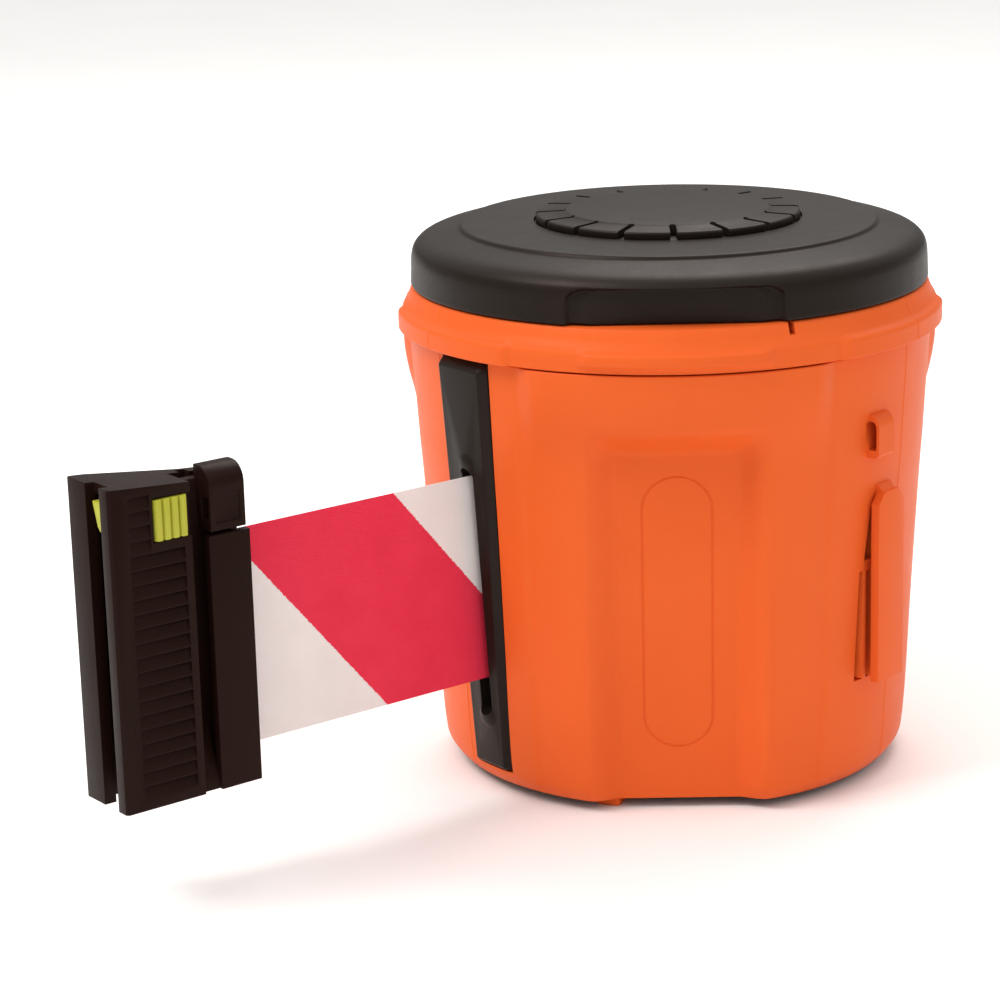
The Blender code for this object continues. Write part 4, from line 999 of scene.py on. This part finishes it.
def build_end_rail():
    """Clamp half with a T-rail down its side, an arched eye above it and a curved ramp at its foot."""
    start, stem_low, stem_high, head_low, head_high = GRIP_DEPTH + 0.5, 39.0, 44.0, 33.9, 48.5
    rail_top = END_HIGH - 20.5
    outline = [
        (0.6, depth(start)), (4.0, depth(start)), (4.0, depth(stem_low)), (9.0, depth(stem_low)),
        (9.0, depth(head_low)), (END_HALF, depth(head_low)), (END_HALF, depth(head_high)),
        (9.0, depth(head_high)), (9.0, depth(stem_high)), (4.0, depth(stem_high)),
        (4.0, depth(END_DEPTH)), (0.6, depth(END_DEPTH)),
    ]
    mesh = plan_prism("clamp_rail", outline, END_LOW, rail_top)
    rail = make_piece("clamp_rail", mesh, BROWN_BLACK, "tape_end", ["end_rail"])
    plate_top = END_HIGH - TOP_FALL * END_DEPTH
    upper = box_mesh("rail_upper", (0.6, depth(start), rail_top - 1.0), (4.0, depth(END_DEPTH), plate_top))
    eye_low, eye_high, eye_side, radius = END_HIGH - 19.4, END_HIGH + 0.4, END_HALF - 0.4, 6.0
    side = [(3.0, eye_low), (eye_side, eye_low)]
    side += arc((eye_side - radius, eye_high - radius), radius, 0.0, 90.0, 12) + [(3.0, eye_high)]
    ramp = [
        (3.0, END_LOW), (10.5, END_LOW), (10.0, END_LOW + 4.0), (7.0, END_LOW + 12.0),
        (4.6, END_LOW + 22.0), (3.0, END_LOW + 30.0),
    ]
    eye = front_prism("rail_eye", side, depth(35.0), depth(47.5))
    toe = front_prism("rail_ramp", ramp, depth(start), depth(head_low + 0.6))
    combine(rail, [upper, eye, toe], "UNION", "EXACT")
    low, high = (6.6, depth(32.0), eye_low + 3.2), (10.4, depth(43.0), eye_low + 10.2)
    hollow = box_mesh("rail_eye_hole", low, high)
    low, high = (END_HALF - 0.9, depth(37.0), eye_low + 2.4), (END_HALF + 0.5, depth(45.6), eye_low + 11.4)
    combine(rail, [hollow, box_mesh("rail_eye_inset", low, high)], "DIFFERENCE", "EXACT")
    round_edges(rail, 0.4, 3, 40.0)


def build_latch():
    """Thumb pad with four rounded ribs, and the barb that shows in the channel."""
    low, high = END_HIGH - 18.2, END_HIGH - 5.6
    pad_start, pad_end, ribs = 15.2, 26.6, 4
    pitch = (pad_end - pad_start) / ribs
    outline = [(11.0, depth(pad_end)), (11.0, depth(pad_start))]
    for index in range(ribs):
        middle = depth(pad_start + pitch * (index + 0.5))
        outline += [(x, y) for y, x in arc((middle, 11.9), 0.5 * pitch - 0.12, 180.0, 0.0, 10)]
    pad = plan_prism("thumb_pad", outline, low, high)
    pad = make_piece("thumb_pad", pad, LIME, "latch", ["latch"])
    for vertex in pad.data.vertices:
        vertex.co.x = min(vertex.co.x, 13.0 * MM)
    round_edges(pad, 0.35, 2, 60.0)
    stem = box_mesh("latch_stem", (5.0, depth(17.8), END_HIGH - 13.4), (11.5, depth(21.6), END_HIGH - 6.6))
    stem = make_piece("latch_arm", stem, LIME, "latch")
    bar = box_mesh("latch_bar", (1.8, depth(6.0), END_HIGH - 12.6), (6.2, depth(20.2), END_HIGH - 7.2))
    barb = [
        (0.8, END_HIGH - 5.2), (6.6, END_HIGH - 5.2), (6.0, END_HIGH - 12.8),
        (4.6, END_HIGH - 14.2), (3.2, END_HIGH - 12.8),
    ]
    combine(stem, [bar, front_prism("latch_barb", barb, depth(1.2), depth(7.2))], "UNION", "EXACT")
    round_edges(stem, 0.3, 2, 40.0)


# ---- base and socket

def build_base():
    """Bottom plate, the tapered cup that drops over a cone's tip, and the grip ring in its mouth."""
    def loop(angle):
        edge = drum_outline(angle, 0.0, WALL)
        return [(38.3, 1.0), (edge - 0.5, 1.0), (edge, 1.5), (edge, 5.2), (37.8, 5.2), (37.8, 1.5)]

    plate = lofted_mesh("bottom_plate", spread(0.0, 359.0, 359), loop)
    plate = make_piece("bottom_plate", plate, BLACK, "housing", ["base_plate"])
    profile = [(0.0, 0.0), (3.9, 0.0), (3.9, 3.0), (2.0, 3.0), (2.0, 7.0), (0.0, 7.0)]
    for sector in range(3):
        for angle, reach in ((BOSS_ANGLE, BOSS_REACH), (PANEL_ANGLE + STATION_OFFSET, 44.5)):
            x, y, _ = polar(angle + 120.0 * sector, reach, 0.0)
            combine(plate, [turned_mesh("plate_bore", profile, 32, centre=(x, y))])
    socket = [
        (0.0, 92.0), (26.5, 92.0), (27.3, 91.7), (27.6, 91.0), (36.3, 8.0), (37.5, 5.5), (50.0, 5.5),
        (50.0, 8.5), (39.0, 8.5), (30.5, 95.0), (0.0, 95.0),
    ]
    socket = turned_mesh("socket_cup", socket, 160)
    make_piece("socket_cup", socket, BLACK, "housing", ["cone_socket"])
    grip = [(35.0, 9.0), (33.4, 9.2)]
    for fin in range(3):
        grip += smooth_run([(33.2, 9.5 + 1.8 * fin), (31.6, 10.1 + 1.8 * fin), (33.2, 10.9 + 1.8 * fin)], 3)
    grip += [(34.4, 14.6)]
    make_piece("grip_ring", turned_mesh("grip_ring", grip, 160), RUBBER, "housing", ["cone_grip"])


# ---- stage, lights and camera

def build_stage():
    """Plain pale floor under the feet."""
    half, low = FLOOR_HALF_WIDTH, cad_low.z
    corners = ((-half, -half), (half, -half), (half, half), (-half, half))
    bm = bmesh.new()
    bm.faces.new([bm.verts.new((x, y, low)) for x, y in corners])
    mesh = bpy.data.meshes.new("floor")
    bm.to_mesh(mesh)
    bm.free()
    floor = bpy.data.objects.new("floor", mesh)
    bpy.context.scene.collection.objects.link(floor)
    finish, tree, shader, spot = new_material("pale_floor", Roughness=0.9, Specular_IOR_Level=0.2)
    tone = map_range(tree, noise_at(tree, spot, 6.0, 2.0), 0.0, 1.0)
    colour = blend_colours(tree, tone, (0.93, 0.93, 0.925), (0.95, 0.95, 0.945))
    tree.links.new(colour, shader.inputs["Base Color"])
    mesh.materials.append(finish)


def add_light(name, azimuth, elevation, distance, size, power, colour):
    """Soft square light on a sphere round the unit; azimuth is counted from the camera's side."""
    turn = math.radians(CAMERA_AZIMUTH + azimuth)
    rise = math.radians(elevation)
    away = Vector((math.sin(turn) * math.cos(rise), -math.cos(turn) * math.cos(rise), math.sin(rise)))
    light = bpy.data.lights.new(name, "AREA")
    light.shape = "SQUARE"
    light.size = size
    light.energy = power
    light.color = colour
    item = bpy.data.objects.new(name, light)
    bpy.context.scene.collection.objects.link(item)
    item.location = away * distance
    item.rotation_euler = (-away).to_track_quat("-Z", "Y").to_euler()


def build_lights():
    """Soft sky that brightens upwards, and three soft area lights."""
    world = bpy.data.worlds.new("soft_studio")
    world.use_nodes = True
    tree = world.node_tree
    background = tree.nodes["Background"]
    background.inputs["Color"].default_value = (1.0, 0.99, 0.975, 1.0)
    up = add_node(tree, "SeparateXYZ", {0: add_node(tree, "TexCoord").outputs["Generated"]}).outputs[2]
    tree.links.new(map_range(tree, up, 0.20, 1.08, 0.05, 0.75), background.inputs["Strength"])
    bpy.context.scene.world = world
    add_light("key", -62.0, 52.0, 1.6, 0.6, 12.0, (1.0, 0.97, 0.94))
    add_light("fill", 40.0, 30.0, 1.9, 1.2, 2.0, (1.0, 0.98, 0.96))
    add_light("top", 165.0, 58.0, 1.7, 1.1, 14.0, (1.0, 0.96, 0.92))
    bpy.context.scene.view_settings.view_transform = "Standard"


def build_camera():
    camera = bpy.data.cameras.new("camera")
    camera.sensor_width = 36.0
    camera.lens = CAMERA_LENS
    item = bpy.data.objects.new("camera", camera)
    bpy.context.scene.collection.objects.link(item)
    turn = math.radians(CAMERA_AZIMUTH)
    item.location = Vector((
        CAMERA_DISTANCE * math.sin(turn), -CAMERA_DISTANCE * math.cos(turn), CAMERA_HEIGHT,
    )) * MM + Vector((0.0, 0.0, FOOT))
    aim = Euler((math.radians(90.0 - CAMERA_PITCH), 0.0, math.radians(CAMERA_AZIMUTH - CAMERA_YAW)))
    roll = Matrix.Rotation(math.radians(CAMERA_ROLL), 3, "Z")
    item.rotation_euler = (aim.to_matrix() @ roll).to_euler()
    bpy.context.scene.camera = item


# ---- everything

finish_cad_nodes()
build_drum()
build_feet()
build_collar()
build_lid()
build_dial()
build_bezel()
build_guide_pins()
for label, angle in RECEIVER_ANGLES.items():
    build_receiver(label, angle)
tape, tape_length = build_tape()
build_roll()
build_end_block()
build_end_rail()
build_latch()
build_base()

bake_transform(tape)

build_stage()
build_lights()
build_camera()
